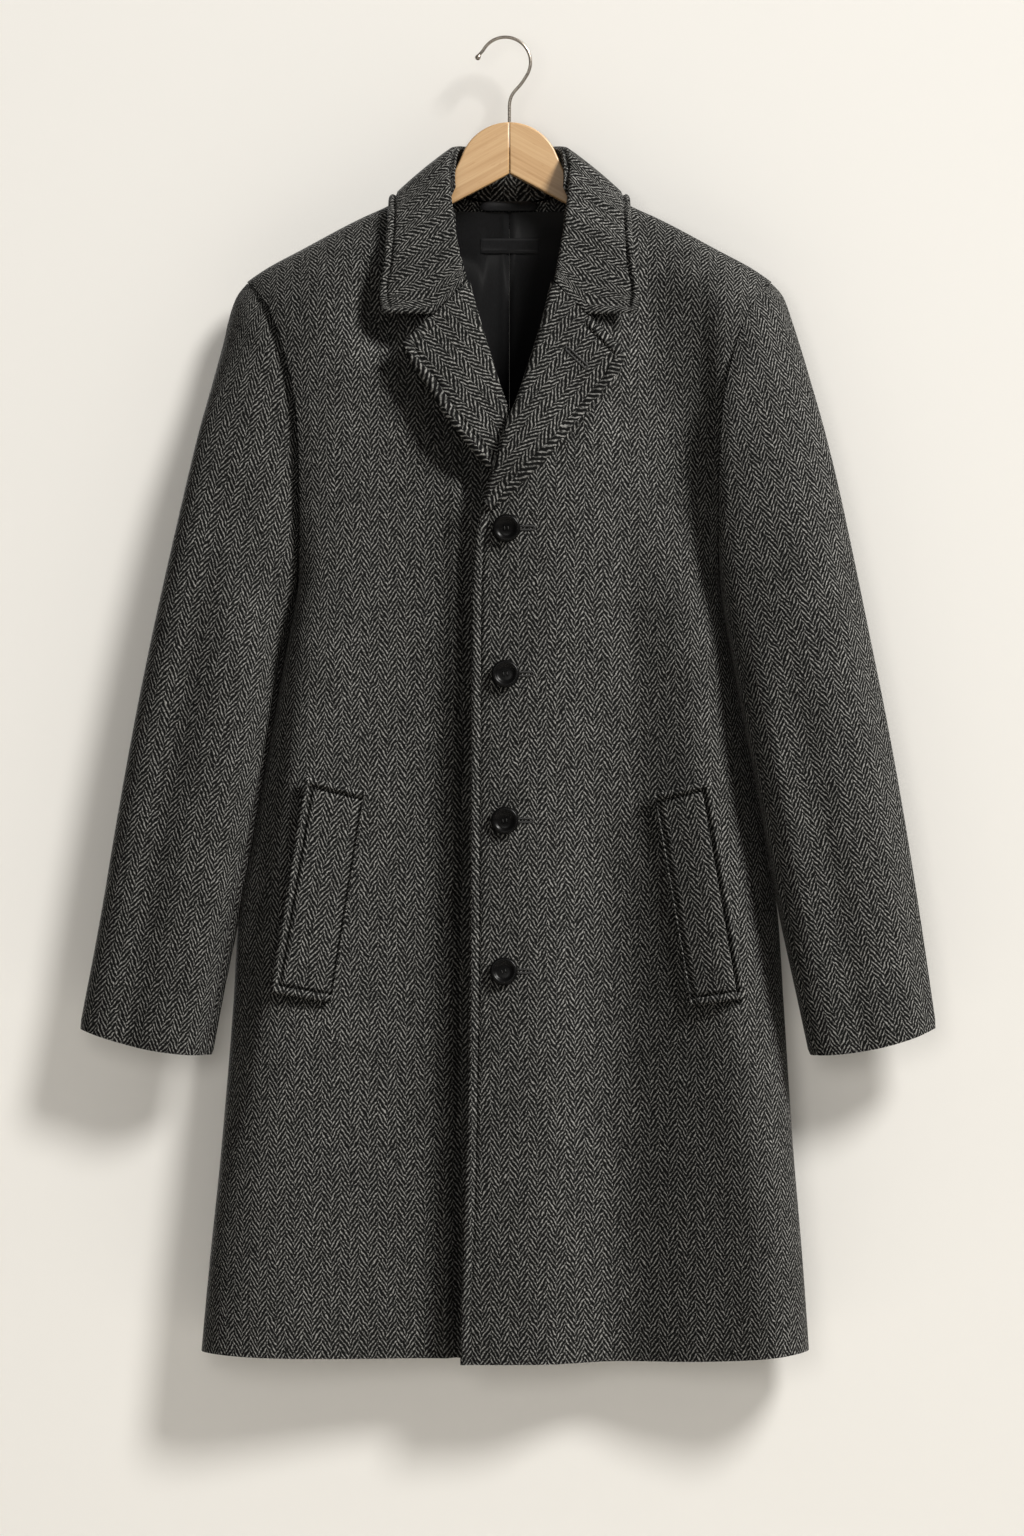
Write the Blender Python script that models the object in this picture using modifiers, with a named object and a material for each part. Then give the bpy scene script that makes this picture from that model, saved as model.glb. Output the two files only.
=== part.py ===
"""Single-breasted wool overcoat, hanging buttoned on a wooden coat hanger with a wire hook.

Frame: +Z up, -Y is the front of the coat, +X is the wearer's left. The origin is the hook's seat, the point
where the inside of the hook rests on a nail or rail. Tables and sizes are in millimetres, and "down" is
millimetres below that seat. The meshes are made in metres.
"""
import math

import bmesh
import bpy
import numpy as np
from mathutils import Vector

MM = 0.001

# Driving sizes
CENTRE_X = 3.6          # coat centre line, measured from the hook seat
CLOTH = 2.4             # wool cloth with its canvas
COLLAR_CLOTH = 2.6      # collar and lapels
LINING = 1.0
GAP = 0.3               # between pieces at a seam
ARMHOLE_GAP = 0.45      # between body and sleeve, round the curved armhole
LAYER = 3.1             # from one cloth layer's face to the next one's
SHOULDER_ROUND = 58.0   # height over which the shoulder rounds to its full depth
SIDE_POWER = 2.3        # roundness of the flattened body, 2 is an ellipse
ARMPIT = 488.0
SHOULDER_END = 220.0
HEM = 1188.0
HEM_RISE = 11.0         # the hem is this much higher at the side seams
UNDER_HEM_RISE = 4.0    # the front that lies under hangs this much shorter
SHOULDER_SLANT = 1.14   # upright reach of a layer's thickness on the sloping shoulder
LAP_FADE = (75.0, 30.0)         # distances from the centre line between which the lap rises over the lower front
LAPEL_UNDER = ((300, 350), (500, 425))  # downs between which the lap also rises over the lower front's lapel

# Shoulder line, from the neck to the sleeve: distance from the centre line, down
SHOULDER_LINE = ((0, 99), (50, 117), (72, 128.5), (110, 151), (132, 161), (186, 189.5), (224, 210.5),
                 (236, 219), (250, 231))

# Depth of the hanging coat: down, front, back
DEPTH = ((100, 28, 32), (160, 36, 40), (220, 45, 48), (350, 53, 56), (480, 54, 55), (700, 51, 51),
         (900, 53, 51), (1190, 58, 56))

# Half width of the body's form: down, wearer's left, wearer's right
BODY_WIDTH = ((100, 252, 252), (220, 243, 243), (350, 214, 213), (440, 196, 195), (488, 188, 187),
              (514, 191.4, 190.4), (541, 198.2, 198.2), (604, 210.4, 209.4), (673, 224.5, 222), (717, 232.5, 229.5), (783, 241, 242),
              (870, 247, 248), (1005, 255.5, 259), (1087, 262, 267), (1190, 269, 276))

# Armhole seam on the front: down, distance from the centre line
ARMHOLE = ((219, 237), (222, 233), (236, 220.5), (257, 210), (291, 199), (323, 192), (365, 188.3), (410, 187.3),
           (456, 187.2), (489, 189))
ARMHOLE_BACK = 7.0      # the back armhole is this much further out at its middle

# Sleeve lines seen from the front: down, wearer's left, wearer's right
SLEEVE_OUTER = ((220, 239, 237), (230, 247, 244), (246, 254, 251), (277, 263.5, 258.5), (310, 272, 266.7),
                (353, 283, 278), (406, 295.7, 290.5), (452, 305.5, 301), (541, 323.7, 320.7), (612, 338, 335),
                (698, 353.4, 350.5), (794, 368.7, 366.6), (889, 382.5, 384.6))
SLEEVE_INNER = ((488, 190, 189.5), (514, 193, 192), (541, 197.3, 197.4), (604, 208.4, 207.3), (673, 222, 219.5),
                (728, 232, 229.5), (786, 242.4, 241), (849, 255, 253.8), (914, 268.8, 265.8))
CUFF_OUTER = 889.0
CUFF_INNER = 913.0
CUFF_SAG = 6.0          # the cuff's front edge bows down between its two ends

# Sleeve section: fraction of its length, half depth, how far its centre swings forward
SLEEVE_SECTION = ((0, 30, 0), (0.07, 33, 7), (0.15, 35.5, 14), (0.3, 38, 22), (0.6, 37, 26), (0.8, 35.5, 28),
                  (1, 34, 29))
SLEEVE_FRONT_SEAM = 0.87    # fraction of the half turn from the outer line round the front to the inner line
SLEEVE_BACK_SEAM = -0.62    # the same, round the back
SEAM_TURN = 0.25            # degrees from a seam's middle to each piece's edge

# Inner edge of each front, neck to hem: down, wearer's left front, wearer's right front
FRONT_EDGE = ((129, 71, -71), (140, 58, -58), (152, 51.5, -51), (180, 48, -47.2), (222, 39.5, -37),
              (261, 30, -26), (299, 17.9, -14.5), (329, 7.7, -5), (353, -2.7, 4), (386, -11.4, 14),
              (403, -17.5, 18), (424, -23.7, 20), (445, -29, 20), (479, -32, 20), (560, -33.6, 20),
              (840, -35.4, 20), (1025, -39, 20), (1110, -42, 20), (1200, -44, 20))

# Rows of a panel down to the armpit: fraction of the armhole, down at the front edge, down at the centre back
PANEL_TOP = ((0.0, 129, 146), (0.025, 129.6, 146.6), (0.08, 133, 149), (0.17, 141, 156), (0.27, 156, 169),
             (0.38, 184, 194),
             (0.5, 225, 232), (0.62, 280, 284), (0.74, 345, 347), (0.87, 420, 420), (1.0, 488, 488))
PANEL_BELOW = (541, 604, 680, 760, 840, 920, 1005, 1087, 1150, 1188)
NECK_POINT = 72.0       # where the shoulder seam meets the collar
BACK_NECK = 146.0       # the back neck seam's lowest point


def follow(table, column, at):
    """Value in a column of a table at any place between its rows, on a smooth curve through them."""
    keys = [row[0] for row in table]
    values = [row[column] for row in table]
    slopes = np.gradient(values, keys)
    at = min(max(at, keys[0]), keys[-1])
    i = min(max(int(np.searchsorted(keys, at)) - 1, 0), len(keys) - 2)
    step = keys[i + 1] - keys[i]
    t = (at - keys[i]) / step
    near = values[i] * (1 + 2 * t) * (1 - t) ** 2 + slopes[i] * step * t * (1 - t) ** 2
    far = values[i + 1] * t * t * (3 - 2 * t) - slopes[i + 1] * step * t * t * (1 - t)
    return near + far


def ease(start, end, at):
    """0 before start, 1 past end, with soft ends; start may be the larger."""
    t = min(max((at - start) / (end - start), 0.0), 1.0)
    return t * t * (3 - 2 * t)


def column_of(side):
    """Table column of a side: +1 is the wearer's left, -1 the wearer's right."""
    return 1 if side > 0 else 2


# ---- Forms -------------------------------------------------------------------------------------------------
def body_depth(x, down, side, back=False, inset=0.0):
    """How far the flattened body reaches from the shoulder plane, on its front or back."""
    depth = follow(DEPTH, 2 if back else 1, down) - inset
    half_width = follow(BODY_WIDTH, column_of(side), down) - inset
    across = min(abs(x) / half_width, 1.0)
    drop = down - follow(SHOULDER_LINE, 1, abs(x)) - SHOULDER_SLANT * inset
    rounding = min(max(drop / SHOULDER_ROUND, 0.0), 1.0)
    return depth * (1 - across ** SIDE_POWER) ** (1 / SIDE_POWER) * math.sqrt(1 - (1 - rounding) ** 2)


def lap_lift(x, down):
    """The wearer's left front lies over the other one, and over its lapel near the break of the roll."""
    near_edge = ease(*LAP_FADE, x)
    over_lapel = ease(*LAPEL_UNDER[0], down) * ease(*LAPEL_UNDER[1], down)
    return near_edge * (LAYER + (LAYER + 0.6) * over_lapel)


def front_face(x, down, side, out=0.0):
    """Y of the front's outer face, moved out by a distance."""
    lift = lap_lift(x, down) if side > 0 else 0.0
    return -body_depth(x, down, side) - lift - out


def armhole(turn, side, inset=0.0):
    """Point of the armhole seam: turn 0 is the shoulder, 90 the front, 180 the armpit and 270 the back."""
    angle = math.radians(turn)
    middle = (ARMPIT + SHOULDER_END) / 2
    down = middle - ((ARMPIT - SHOULDER_END) / 2 - inset) * math.cos(angle)
    reach = math.sin(angle)
    x = follow(ARMHOLE, 1, down) + ARMHOLE_BACK * max(-reach, 0.0)
    depth = body_depth(x, down, side, reach < 0, inset) * ease(0, 0.25, abs(reach))
    return Vector((side * x, -math.copysign(depth, reach), -down))


def top_line(x, back):
    """Down of a panel's top edge: the shoulder seam, and on the back the neck seam's dip."""
    if back and x < NECK_POINT:
        neck_end = follow(SHOULDER_LINE, 1, NECK_POINT)
        return neck_end + (BACK_NECK - neck_end) * math.cos(math.pi / 2 * x / NECK_POINT) ** 0.8
    return follow(SHOULDER_LINE, 1, x)


def hem_shift(x, down, side, back):
    """The hem rises a little towards the side seams, and the front that lies under is a little shorter."""
    across = min(abs(x) / follow(BODY_WIDTH, column_of(side), HEM), 1.0) ** 4
    rise = HEM_RISE * across
    if side < 0 and not back:
        rise += UNDER_HEM_RISE * (1 - across)
    return -rise * ease(1005, HEM, down)


def panel_grid(side, back=False, inset=0.0, columns=10):
    """Rows of points of a front or back panel, from the shoulder seam to the hem, centre to side."""
    ends = []
    for fraction, front_down, back_down in PANEL_TOP:
        outer = armhole(-180 * fraction if back else 180 * fraction, side, inset)
        ends.append((abs(outer.x), -outer.z, back_down if back else front_down, ease(0.75, 0.3, fraction)))
    for down in PANEL_BELOW:
        ends.append((follow(BODY_WIDTH, column_of(side), down) - inset, down, down, 0.0))
    rows = []
    for k, (outer_x, outer_down, inner_down, sloping) in enumerate(ends):
        inner_x = GAP / 2 if back else side * follow(FRONT_EDGE, column_of(side), inner_down)
        outer_drop = outer_down - top_line(outer_x, back)
        inner_drop = inner_down - top_line(abs(inner_x), back)
        inner_drop += 1.14 * inset * ease(SHOULDER_ROUND, 0, inner_drop)
        row = []
        for j in range(columns + 1):
            share = math.sin(math.pi / 2 * j / columns)
            x = inner_x + (outer_x - inner_x) * share
            straight = inner_down + (outer_down - inner_down) * share
            drop = inner_drop + (outer_drop - inner_drop) * share
            down = sloping * (top_line(abs(x), back) + drop) + (1 - sloping) * straight
            depth = body_depth(x, down, side, back, inset) if 0 < k else 0.0
            if back and k == 0 and abs(x) < NECK_POINT:
                depth = body_depth(x, down, side, back, inset)
            if j == columns and k < len(PANEL_TOP):
                depth = abs(armhole(180 * PANEL_TOP[k][0] * (-1 if back else 1), side, inset).y)
            depth = max(depth, GAP / 2)
            down += hem_shift(x, down, side, back)
            y = depth if back else -depth
            if side > 0 and not back:
                y -= lap_lift(x, down) * min(k, 1)
            row.append((side * x, y, -down))
        rows.append(row)
    return rows


def sleeve_point(share, turn, side, inset=0.0):
    """Point of a sleeve: share is 0 at the armhole and 1 at the cuff, turn as on the armhole."""
    column = column_of(side)

    def oval(share):
        outer_down = SHOULDER_END + (CUFF_OUTER - SHOULDER_END) * share
        inner_down = ARMPIT + (CUFF_INNER - ARMPIT) * share
        outer = Vector((follow(SLEEVE_OUTER, column, outer_down), 0, -outer_down))
        inner = Vector((follow(SLEEVE_INNER, column, inner_down), 0, -inner_down))
        half = (outer - inner) / 2
        half *= 1 - inset / half.length
        angle = math.radians(turn)
        point = (outer + inner) / 2 + half * math.cos(angle)
        depth = follow(SLEEVE_SECTION, 1, share) - inset
        point.y = -follow(SLEEVE_SECTION, 2, share) - depth * math.sin(angle)
        point.z -= CUFF_SAG * ease(0.8, 1, share) * math.sin(angle) ** 2
        point.x *= side
        return point

    setting = armhole(turn, side, inset) - oval(0)
    return oval(share) + setting * ease(0.22, 0, share)


# ---- Making meshes -----------------------------------------------------------------------------------------
def srgb(hex_colour):
    """Linear RGBA from a six-digit sRGB colour."""
    channels = [int(hex_colour[i:i + 2], 16) / 255 for i in (0, 2, 4)]
    return [c / 12.92 if c <= 0.04045 else ((c + 0.055) / 1.055) ** 2.4 for c in channels] + [1.0]


def material(name, hex_colour, roughness, metallic=0.0):
    made = bpy.data.materials.new(name)
    made.use_nodes = True
    shader = made.node_tree.nodes["Principled BSDF"]
    shader.inputs["Base Color"].default_value = srgb(hex_colour)
    shader.inputs["Roughness"].default_value = roughness
    shader.inputs["Metallic"].default_value = metallic
    return made


def place(made, name, finish):
    """Name an object, give it its own copy of a material, and hang it on the coat's centre."""
    made.name = name
    made.data.materials.clear()
    own = finish.copy()
    own.name = name + "_finish"
    made.data.materials.append(own)
    for collection in list(made.users_collection):
        collection.objects.unlink(made)
    parts.objects.link(made)
    made.parent = centre
    return made


def mesh_object(name, points, faces, finish):
    mesh = bpy.data.meshes.new(name)
    mesh.from_pydata([Vector(p) * MM for p in points], [], faces)
    work = bmesh.new()
    work.from_mesh(mesh)
    bmesh.ops.recalc_face_normals(work, faces=work.faces)
    work.to_mesh(mesh)
    work.free()
    mesh.shade_smooth()
    mesh.set_sharp_from_angle(angle=math.radians(50))
    return place(bpy.data.objects.new(name, mesh), name, finish)


def grid_faces(rows, columns, first=0):
    """Quads of a grid of points stored row after row."""
    faces = []
    for i in range(rows - 1):
        for j in range(columns - 1):
            a = first + i * columns + j
            faces.append((a, a + 1, a + columns + 1, a + columns))
    return faces


def nested_shell(name, outer, inner, finish):
    """Cloth wall between two grids of the same layout, closed along its edges.

    Each edge face is split from the higher outer corner to the lower inner one, as on the piece that it is
    sewn to, so that the two edges stay parallel across the seam gap.
    """
    rows, columns = len(outer), len(outer[0])
    count = rows * columns
    points = [p for row in outer for p in row] + [p for row in inner for p in row]
    faces = grid_faces(rows, columns) + [f[::-1] for f in grid_faces(rows, columns, count)]
    edge = [j for j in range(columns)]
    edge += [i * columns + columns - 1 for i in range(1, rows)]
    edge += [(rows - 1) * columns + j for j in range(columns - 2, -1, -1)]
    edge += [i * columns for i in range(rows - 2, 0, -1)]
    for a, b in zip(edge, edge[1:] + edge[:1]):
        high, low = (a, b) if points[a][2] > points[b][2] else (b, a)
        faces.append((high, low, low + count))
        faces.append((high, low + count, high + count))
    return mesh_object(name, points, faces, finish)


def sheet(name, grid, thickness, finish):
    """Cloth laid on a form: an open grid given its thickness below the face by Solidify.

    Rows run down and columns run to +X, so that the face looks to -Y; a negative thickness grows it forward.
    """
    points = [p for row in grid for p in row]
    rows, columns = len(grid), len(grid[0])
    mesh = bpy.data.meshes.new(name)
    faces = [f[::-1] for f in grid_faces(rows, columns)]
    mesh.from_pydata([Vector(p) * MM for p in points], [], faces)
    mesh.shade_smooth()
    made = place(bpy.data.objects.new(name, mesh), name, finish)
    solid = made.modifiers.new("Cloth", "SOLIDIFY")
    solid.thickness = thickness * MM
    solid.offset = -1
    return made


# ---- Body and sleeves --------------------------------------------------------------------------------------
def make_body():
    for side, wearer in ((1, "left"), (-1, "right")):
        for back, word in ((False, "front"), (True, "back")):
            outer = panel_grid(side, back)
            inner = panel_grid(side, back, CLOTH)
            nested_shell(f"{word}_{wearer}", outer, inner, wool)


SLEEVE_ROWS = (0, 0.03, 0.08, 0.14, 0.22, 0.32, 0.43, 0.55, 0.68, 0.8, 0.9, 1)


def sleeve_turns(start, end):
    """Degrees round the sleeve from one seam to the other, at the same places as the panels' rows."""
    fractions = [row[0] for row in PANEL_TOP]
    stops = [-f for f in reversed(fractions[1:])] + fractions + [2 - f for f in reversed(fractions[:-1])]
    turns = [180 * f for f in stops if start - 0.001 <= f <= end + 0.001]
    turns[0] += SEAM_TURN
    turns[-1] -= SEAM_TURN
    return turns


def sleeve_grid(side, turns, inset):
    """Part of the sleeve between two seams, its first row moved off the armhole by the seam gap."""
    rows = [[sleeve_point(share, turn, side, inset) for turn in turns] for share in SLEEVE_ROWS]
    rows[0] = [a + (b - a).normalized() * ARMHOLE_GAP for a, b in zip(rows[0], rows[1])]
    return rows


def make_sleeves():
    top = sleeve_turns(SLEEVE_BACK_SEAM, SLEEVE_FRONT_SEAM)
    under = sleeve_turns(SLEEVE_FRONT_SEAM, SLEEVE_BACK_SEAM + 2)
    for side, wearer in ((1, "left"), (-1, "right")):
        for word, turns in (("top", top), ("under", under)):
            outer = sleeve_grid(side, turns, 0)
            inner = sleeve_grid(side, turns, CLOTH)
            nested_shell(f"sleeve_{word}_{wearer}", outer, inner, wool)


# ---- Collar and lapels -------------------------------------------------------------------------------------
# Fall of the collar, front to centre back: fold x, y, down; outer edge x, y, down; 1 where it lies on the front
COLLAR = ((40, 0, 221, 113.5, 0, 251, 1), (43.5, 0, 200, 116, 0, 232, 1), (47.5, 0, 178, 112.5, 0, 208, 1),
          (51, 0, 155, 110.5, 0, 187, 1), (53, -32, 136, 109.5, -32, 170, 0.8), (54, -24, 119, 109, -22, 157, 0.35),
          (53.5, -12, 105.5, 108.5, -12, 148, 0), (51, 1, 97, 108, 0, 144.5, 0), (46, 14, 94, 107, 14, 147, 0),
          (39, 27, 93, 102, 29, 152, 0), (30, 36, 92.7, 90, 40.5, 158, 0), (20, 42.5, 92.5, 70, 47.5, 163, 0),
          (10, 46, 92.5, 36, 51.5, 166, 0), (0, 47, 92.5, 0, 52.5, 167, 0))
NOTCH = (68.3, 252)             # distance from the centre line, down
COLLAR_FOLD_OUT = 7.0           # how far the fold stands off the front
COLLAR_EDGE_OUT = 3.4
COLLAR_ROUND_OUT = 1.8          # more, where the front rounds up to the shoulder
COLLAR_SHARES = (0, 0.12, 0.36, 0.68, 1)

# Stand of the collar, front to centre back: top x, y, down; neck seam x, y, down
STAND = ((49.5, -27, 135, 53, -28, 144), (49.6, -19, 119.5, 59.6, -21.5, 135), (48.6, -10, 107.5, 67.5, -11, 127),
         (46.6, 0, 99, 71.5, 0, 125.2), (42, 12, 96.4, 69.5, 12.5, 127), (35.5, 24, 95.2, 60, 20.5, 131.5),
         (27, 32.3, 94.8, 45, 29, 137), (18, 38.2, 94.7, 28, 35, 141.5), (9, 41.6, 94.6, 14, 37, 144.3),
         (0, 42.6, 94.6, 0, 37.8, 145))

# Lapels, gorge to the break of the roll: fold x, down, outer edge x, down
LAPEL_LEFT = ((39.5, 223, 102, 287), (30, 261, 90, 312), (18, 299, 69.5, 338), (7.7, 329, 52, 359),
              (-2.7, 353, 30, 381), (-11, 384, 8, 403), (-17.5, 403, -7, 417), (-22, 418, -18, 425))
LAPEL_RIGHT = ((37, 223, 94, 280), (30, 249, 85, 297), (20, 282, 71, 316), (10, 314, 57, 339),
               (1, 340, 40, 362), (-7, 364, 22, 383), (-12, 380, 10, 394))
LAPEL_FOLD_OUT = 6.0
LAPEL_EDGE_OUT = 3.3

NOTCH_SHARE = 0.4       # share of the collar's lower edge that is sewn to the lapel
COLLAR_BULGE_BACK = 0.04        # how much rounder the turned-down cloth is than a straight line
COLLAR_BULGE_UP = 2.0


def mirrored(rows):
    """A list of rows of points continued by its mirror image; the last row is on the centre plane."""
    return rows + [[(-x, y, z) for x, y, z in row] for row in reversed(rows[:-1])]


def collar_rows():
    rows = []
    for fold_x, fold_y, fold_down, edge_x, edge_y, edge_down, lying in COLLAR:
        row = []
        for share in COLLAR_SHARES:
            x = fold_x + (edge_x - fold_x) * share
            down = fold_down + (edge_down - fold_down) * share
            if fold_down == COLLAR[0][2] and share < 1:
                part = min(share / NOTCH_SHARE, 1)
                rest = max((share - NOTCH_SHARE) / (1 - NOTCH_SHARE), 0)
                x = fold_x + (NOTCH[0] - fold_x) * part + (edge_x - NOTCH[0]) * rest
                down = fold_down + (NOTCH[1] - fold_down) * part + (edge_down - NOTCH[1]) * rest
            bulge = 4 * share * (1 - share) * (1 - lying)
            y = (fold_y + (edge_y - fold_y) * share) * (1 + COLLAR_BULGE_BACK * bulge)
            if lying:
                out = COLLAR_FOLD_OUT + (COLLAR_EDGE_OUT - COLLAR_FOLD_OUT) * share ** 0.6
                out += COLLAR_ROUND_OUT * ease(215, 185, down) * share
                y = lying * front_face(x, down, 1, out) + (1 - lying) * y
            row.append((x, y, -down + COLLAR_BULGE_UP * bulge))
        rows.append(row)
    return rows


def make_collar():
    fall = mirrored(collar_rows())
    made = sheet("collar_fall", fall, COLLAR_CLOTH, wool)
    flip_faces(made)
    stand = []
    for top_x, top_y, top_down, seam_x, seam_y, seam_down in STAND:
        stand.append([(top_x + (seam_x - top_x) * k / 3, top_y + (seam_y - top_y) * k / 3,
                       -top_down - (seam_down - top_down) * k / 3) for k in range(4)])
    made = sheet("collar_stand", mirrored(stand), CLOTH, wool)
    flip_faces(made)


def flip_faces(made):
    """Turn a sheet's face to the other side, so that its thickness grows the other way."""
    work = bmesh.new()
    work.from_mesh(made.data)
    bmesh.ops.reverse_faces(work, faces=work.faces)
    work.to_mesh(made.data)
    work.free()


def lapel_grid(side, table, columns=5):
    rows = []
    for fold_x, fold_down, edge_x, edge_down in table:
        row = []
        for j in range(columns + 1):
            share = j / columns
            x = fold_x + (edge_x - fold_x) * share
            down = fold_down + (edge_down - fold_down) * share
            fold_out = LAPEL_FOLD_OUT
            if side < 0:
                fold_out += (LAPEL_EDGE_OUT - LAPEL_FOLD_OUT) * ease(322, 345, down)
            out = fold_out + (LAPEL_EDGE_OUT - fold_out) * share ** 0.5
            y = front_face(side * x, down, side, out)
            row.append((side * x, y, -down))
        rows.append(row if side > 0 else row[::-1])
    return rows


def make_lapels():
    sheet("lapel_left", lapel_grid(1, LAPEL_LEFT), COLLAR_CLOTH, wool)
    sheet("lapel_right", lapel_grid(-1, LAPEL_RIGHT), COLLAR_CLOTH, wool)


# ---- Pocket welts, lining, loop and label ------------------------------------------------------------------
# Corners of each welt: x, down, for the upper inner, upper outer, lower inner and lower outer corner
WELT_LEFT = ((130, 679.5), (179.7, 666.5), (162.6, 869), (212, 861.5))
WELT_RIGHT = ((-129, 677), (-181.8, 663.5), (-158.7, 865.5), (-213.2, 856))
WELT_OUT = 3.2


def make_welts():
    for side, wearer, corners in ((1, "left", WELT_LEFT), (-1, "right", WELT_RIGHT)):
        inner_top, outer_top, inner_low, outer_low = corners
        grid = []
        for i in range(9):
            row = []
            for j in range(4):
                along, across = i / 8, j / 3
                top = [a + (b - a) * across for a, b in zip(inner_top, outer_top)]
                low = [a + (b - a) * across for a, b in zip(inner_low, outer_low)]
                x, down = [a + (b - a) * along for a, b in zip(top, low)]
                row.append((x, front_face(x, down, side, WELT_OUT), -down))
            grid.append(row if side > 0 else row[::-1])
        sheet(f"pocket_welt_{wearer}", grid, CLOTH, wool)


LINING_TOP = 153.0
LINING_END = 450.0
LINING_HALF = 128.0
LINING_INSET = 4.5      # outer face of the lining, inside the back's outer face
LINING_TOP_HALF = 25.0  # half width under the neck, before it widens
LINING_WIDEN = (40, 300)        # downs between which it widens


def make_lining():
    for side, wearer in ((1, "left"), (-1, "right")):
        grid = []
        for i in range(9):
            down = LINING_TOP + (LINING_END - LINING_TOP) * i / 8
            half = LINING_HALF * ease(*LINING_WIDEN, down) + LINING_TOP_HALF
            row = []
            for j in range(7):
                x = GAP / 2 + (half - GAP / 2) * j / 6
                row.append((side * x, body_depth(x, down, side, True, LINING_INSET), -down))
            grid.append(row if side > 0 else row[::-1])
        # The face looks forward, and the thickness grows towards the wool
        sheet(f"lining_back_{wearer}", grid, -LINING, lining)


LOOP = (-26.0, 25.5, 144.0, 152.3, 31.2)      # ends, top, bottom and Y of the hanging loop
LABEL = (-26.0, 27.5, 176.6, 190.0)     # ends, top and bottom of the label patch
LOOP_BAND = 0.8
LOOP_BOW = 1.6          # how far the loop's middle stands off its sewn ends
LABEL_CLOTH = 0.6
LABEL_OFF = 1.2         # face of the label, off the lining's face


def make_trim():
    left, right, top, low, y = LOOP
    grid = []
    for down in (top, low):
        row = []
        for j in range(9):
            share = 2 * j / 8 - 1
            row.append((left + (right - left) * j / 8, y - LOOP_BOW * (1 - share ** 4), -down))
        grid.append(row)
    sheet("hanger_loop", grid, LOOP_BAND, satin)
    left, right, top, low = LABEL
    grid = []
    for down in (top, (top + low) / 2, low):
        row = []
        for j in range(7):
            x = left + (right - left) * j / 6
            row.append((x, body_depth(x, down, 1, True, LINING_INSET) - LINING - LABEL_OFF, -down))
        grid.append(row)
    sheet("neck_label", grid, LABEL_CLOTH, satin)


# ---- Buttons -----------------------------------------------------------------------------------------------
BUTTON_RADIUS = 12.5
BUTTON_PROFILE = ((0.0, 2.6), (6.6, 2.6), (8.2, 3.2), (9.2, 4.4), (10.8, 4.6), (12.1, 3.6), (12.5, 2.2),
                  (11.2, 0.6), (0.0, 0.0))      # radius, height over the cloth
BUTTON_HOLE = 1.1
BUTTON_HOLE_OUT = 2.3
BUTTON_X = (-2.4, -3.6, -3.9, -5.0)
BUTTON_DOWN = (442.5, 572.5, 703.0, 837.5)


def make_buttons():
    for number, (x, down) in enumerate(zip(BUTTON_X, BUTTON_DOWN), 1):
        mesh = bpy.data.meshes.new(f"button_{number}")
        points = [Vector((r, 0, h)) * MM for r, h in BUTTON_PROFILE]
        mesh.from_pydata(points, [(i, i + 1) for i in range(len(points) - 1)], [])
        made = place(bpy.data.objects.new(f"button_{number}", mesh), f"button_{number}", horn)
        turned = made.modifiers.new("Turned", "SCREW")
        turned.steps = turned.render_steps = 24
        turned.use_merge_vertices = True
        turned.merge_threshold = 0.00002
        turned.use_smooth_shade = True
        made.rotation_euler = (math.pi / 2, 0, 0)
        seat = front_face(x, down, 1, 0.5)
        made.location = Vector((x, seat, -down)) * MM
        for k in range(4):
            angle = math.radians(45 + 90 * k)
            at = Vector((x + BUTTON_HOLE_OUT * math.cos(angle), seat, -down + BUTTON_HOLE_OUT * math.sin(angle)))
            bpy.ops.mesh.primitive_cylinder_add(vertices=8, radius=BUTTON_HOLE * MM, depth=12 * MM,
                                                rotation=(math.pi / 2, 0, 0))
            drill = bpy.context.object
            drill.name = f"drill_{number}_{k + 1}"
            for collection in list(drill.users_collection):
                collection.objects.unlink(drill)
            cutters.objects.link(drill)
            drill.parent = centre
            drill.location = at * MM
            drill.hide_render = True
            drill.display_type = "WIRE"
            cut = made.modifiers.new(f"Hole {k + 1}", "BOOLEAN")
            cut.object = drill
            cut.operation = "DIFFERENCE"


# ---- Hanger ------------------------------------------------------------------------------------------------
HEAD_TOP = 75.5         # top of the hanger's round head
HEAD_RADIUS = 45.6
HEAD_EDGE = 42.5        # where the head's arc meets the arm, from the centre line
ARM_CLEAR = 4.9         # from the shoulder seam down to the arm's top, cloth included
ARM_SINK = 1.9          # the arm's end lies this much lower still
ARM_END = 216.0
ARM_HEIGHT = ((50, 30), (110, 28), (216, 20))       # distance from the centre line, height
ARM_THICK = 12.0
ARM_ROUND = 2.0
UNDER_PEAK = 121.5      # peak of the underside
UNDER_END = 148.5       # underside at the edge of the neck
NECK_EDGE = 50.8


def arm_top(x):
    """Down of the arm's upper edge, just inside the cloth of the shoulder."""
    return follow(SHOULDER_LINE, 1, x) + ARM_CLEAR + ARM_SINK * x / ARM_END


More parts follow.
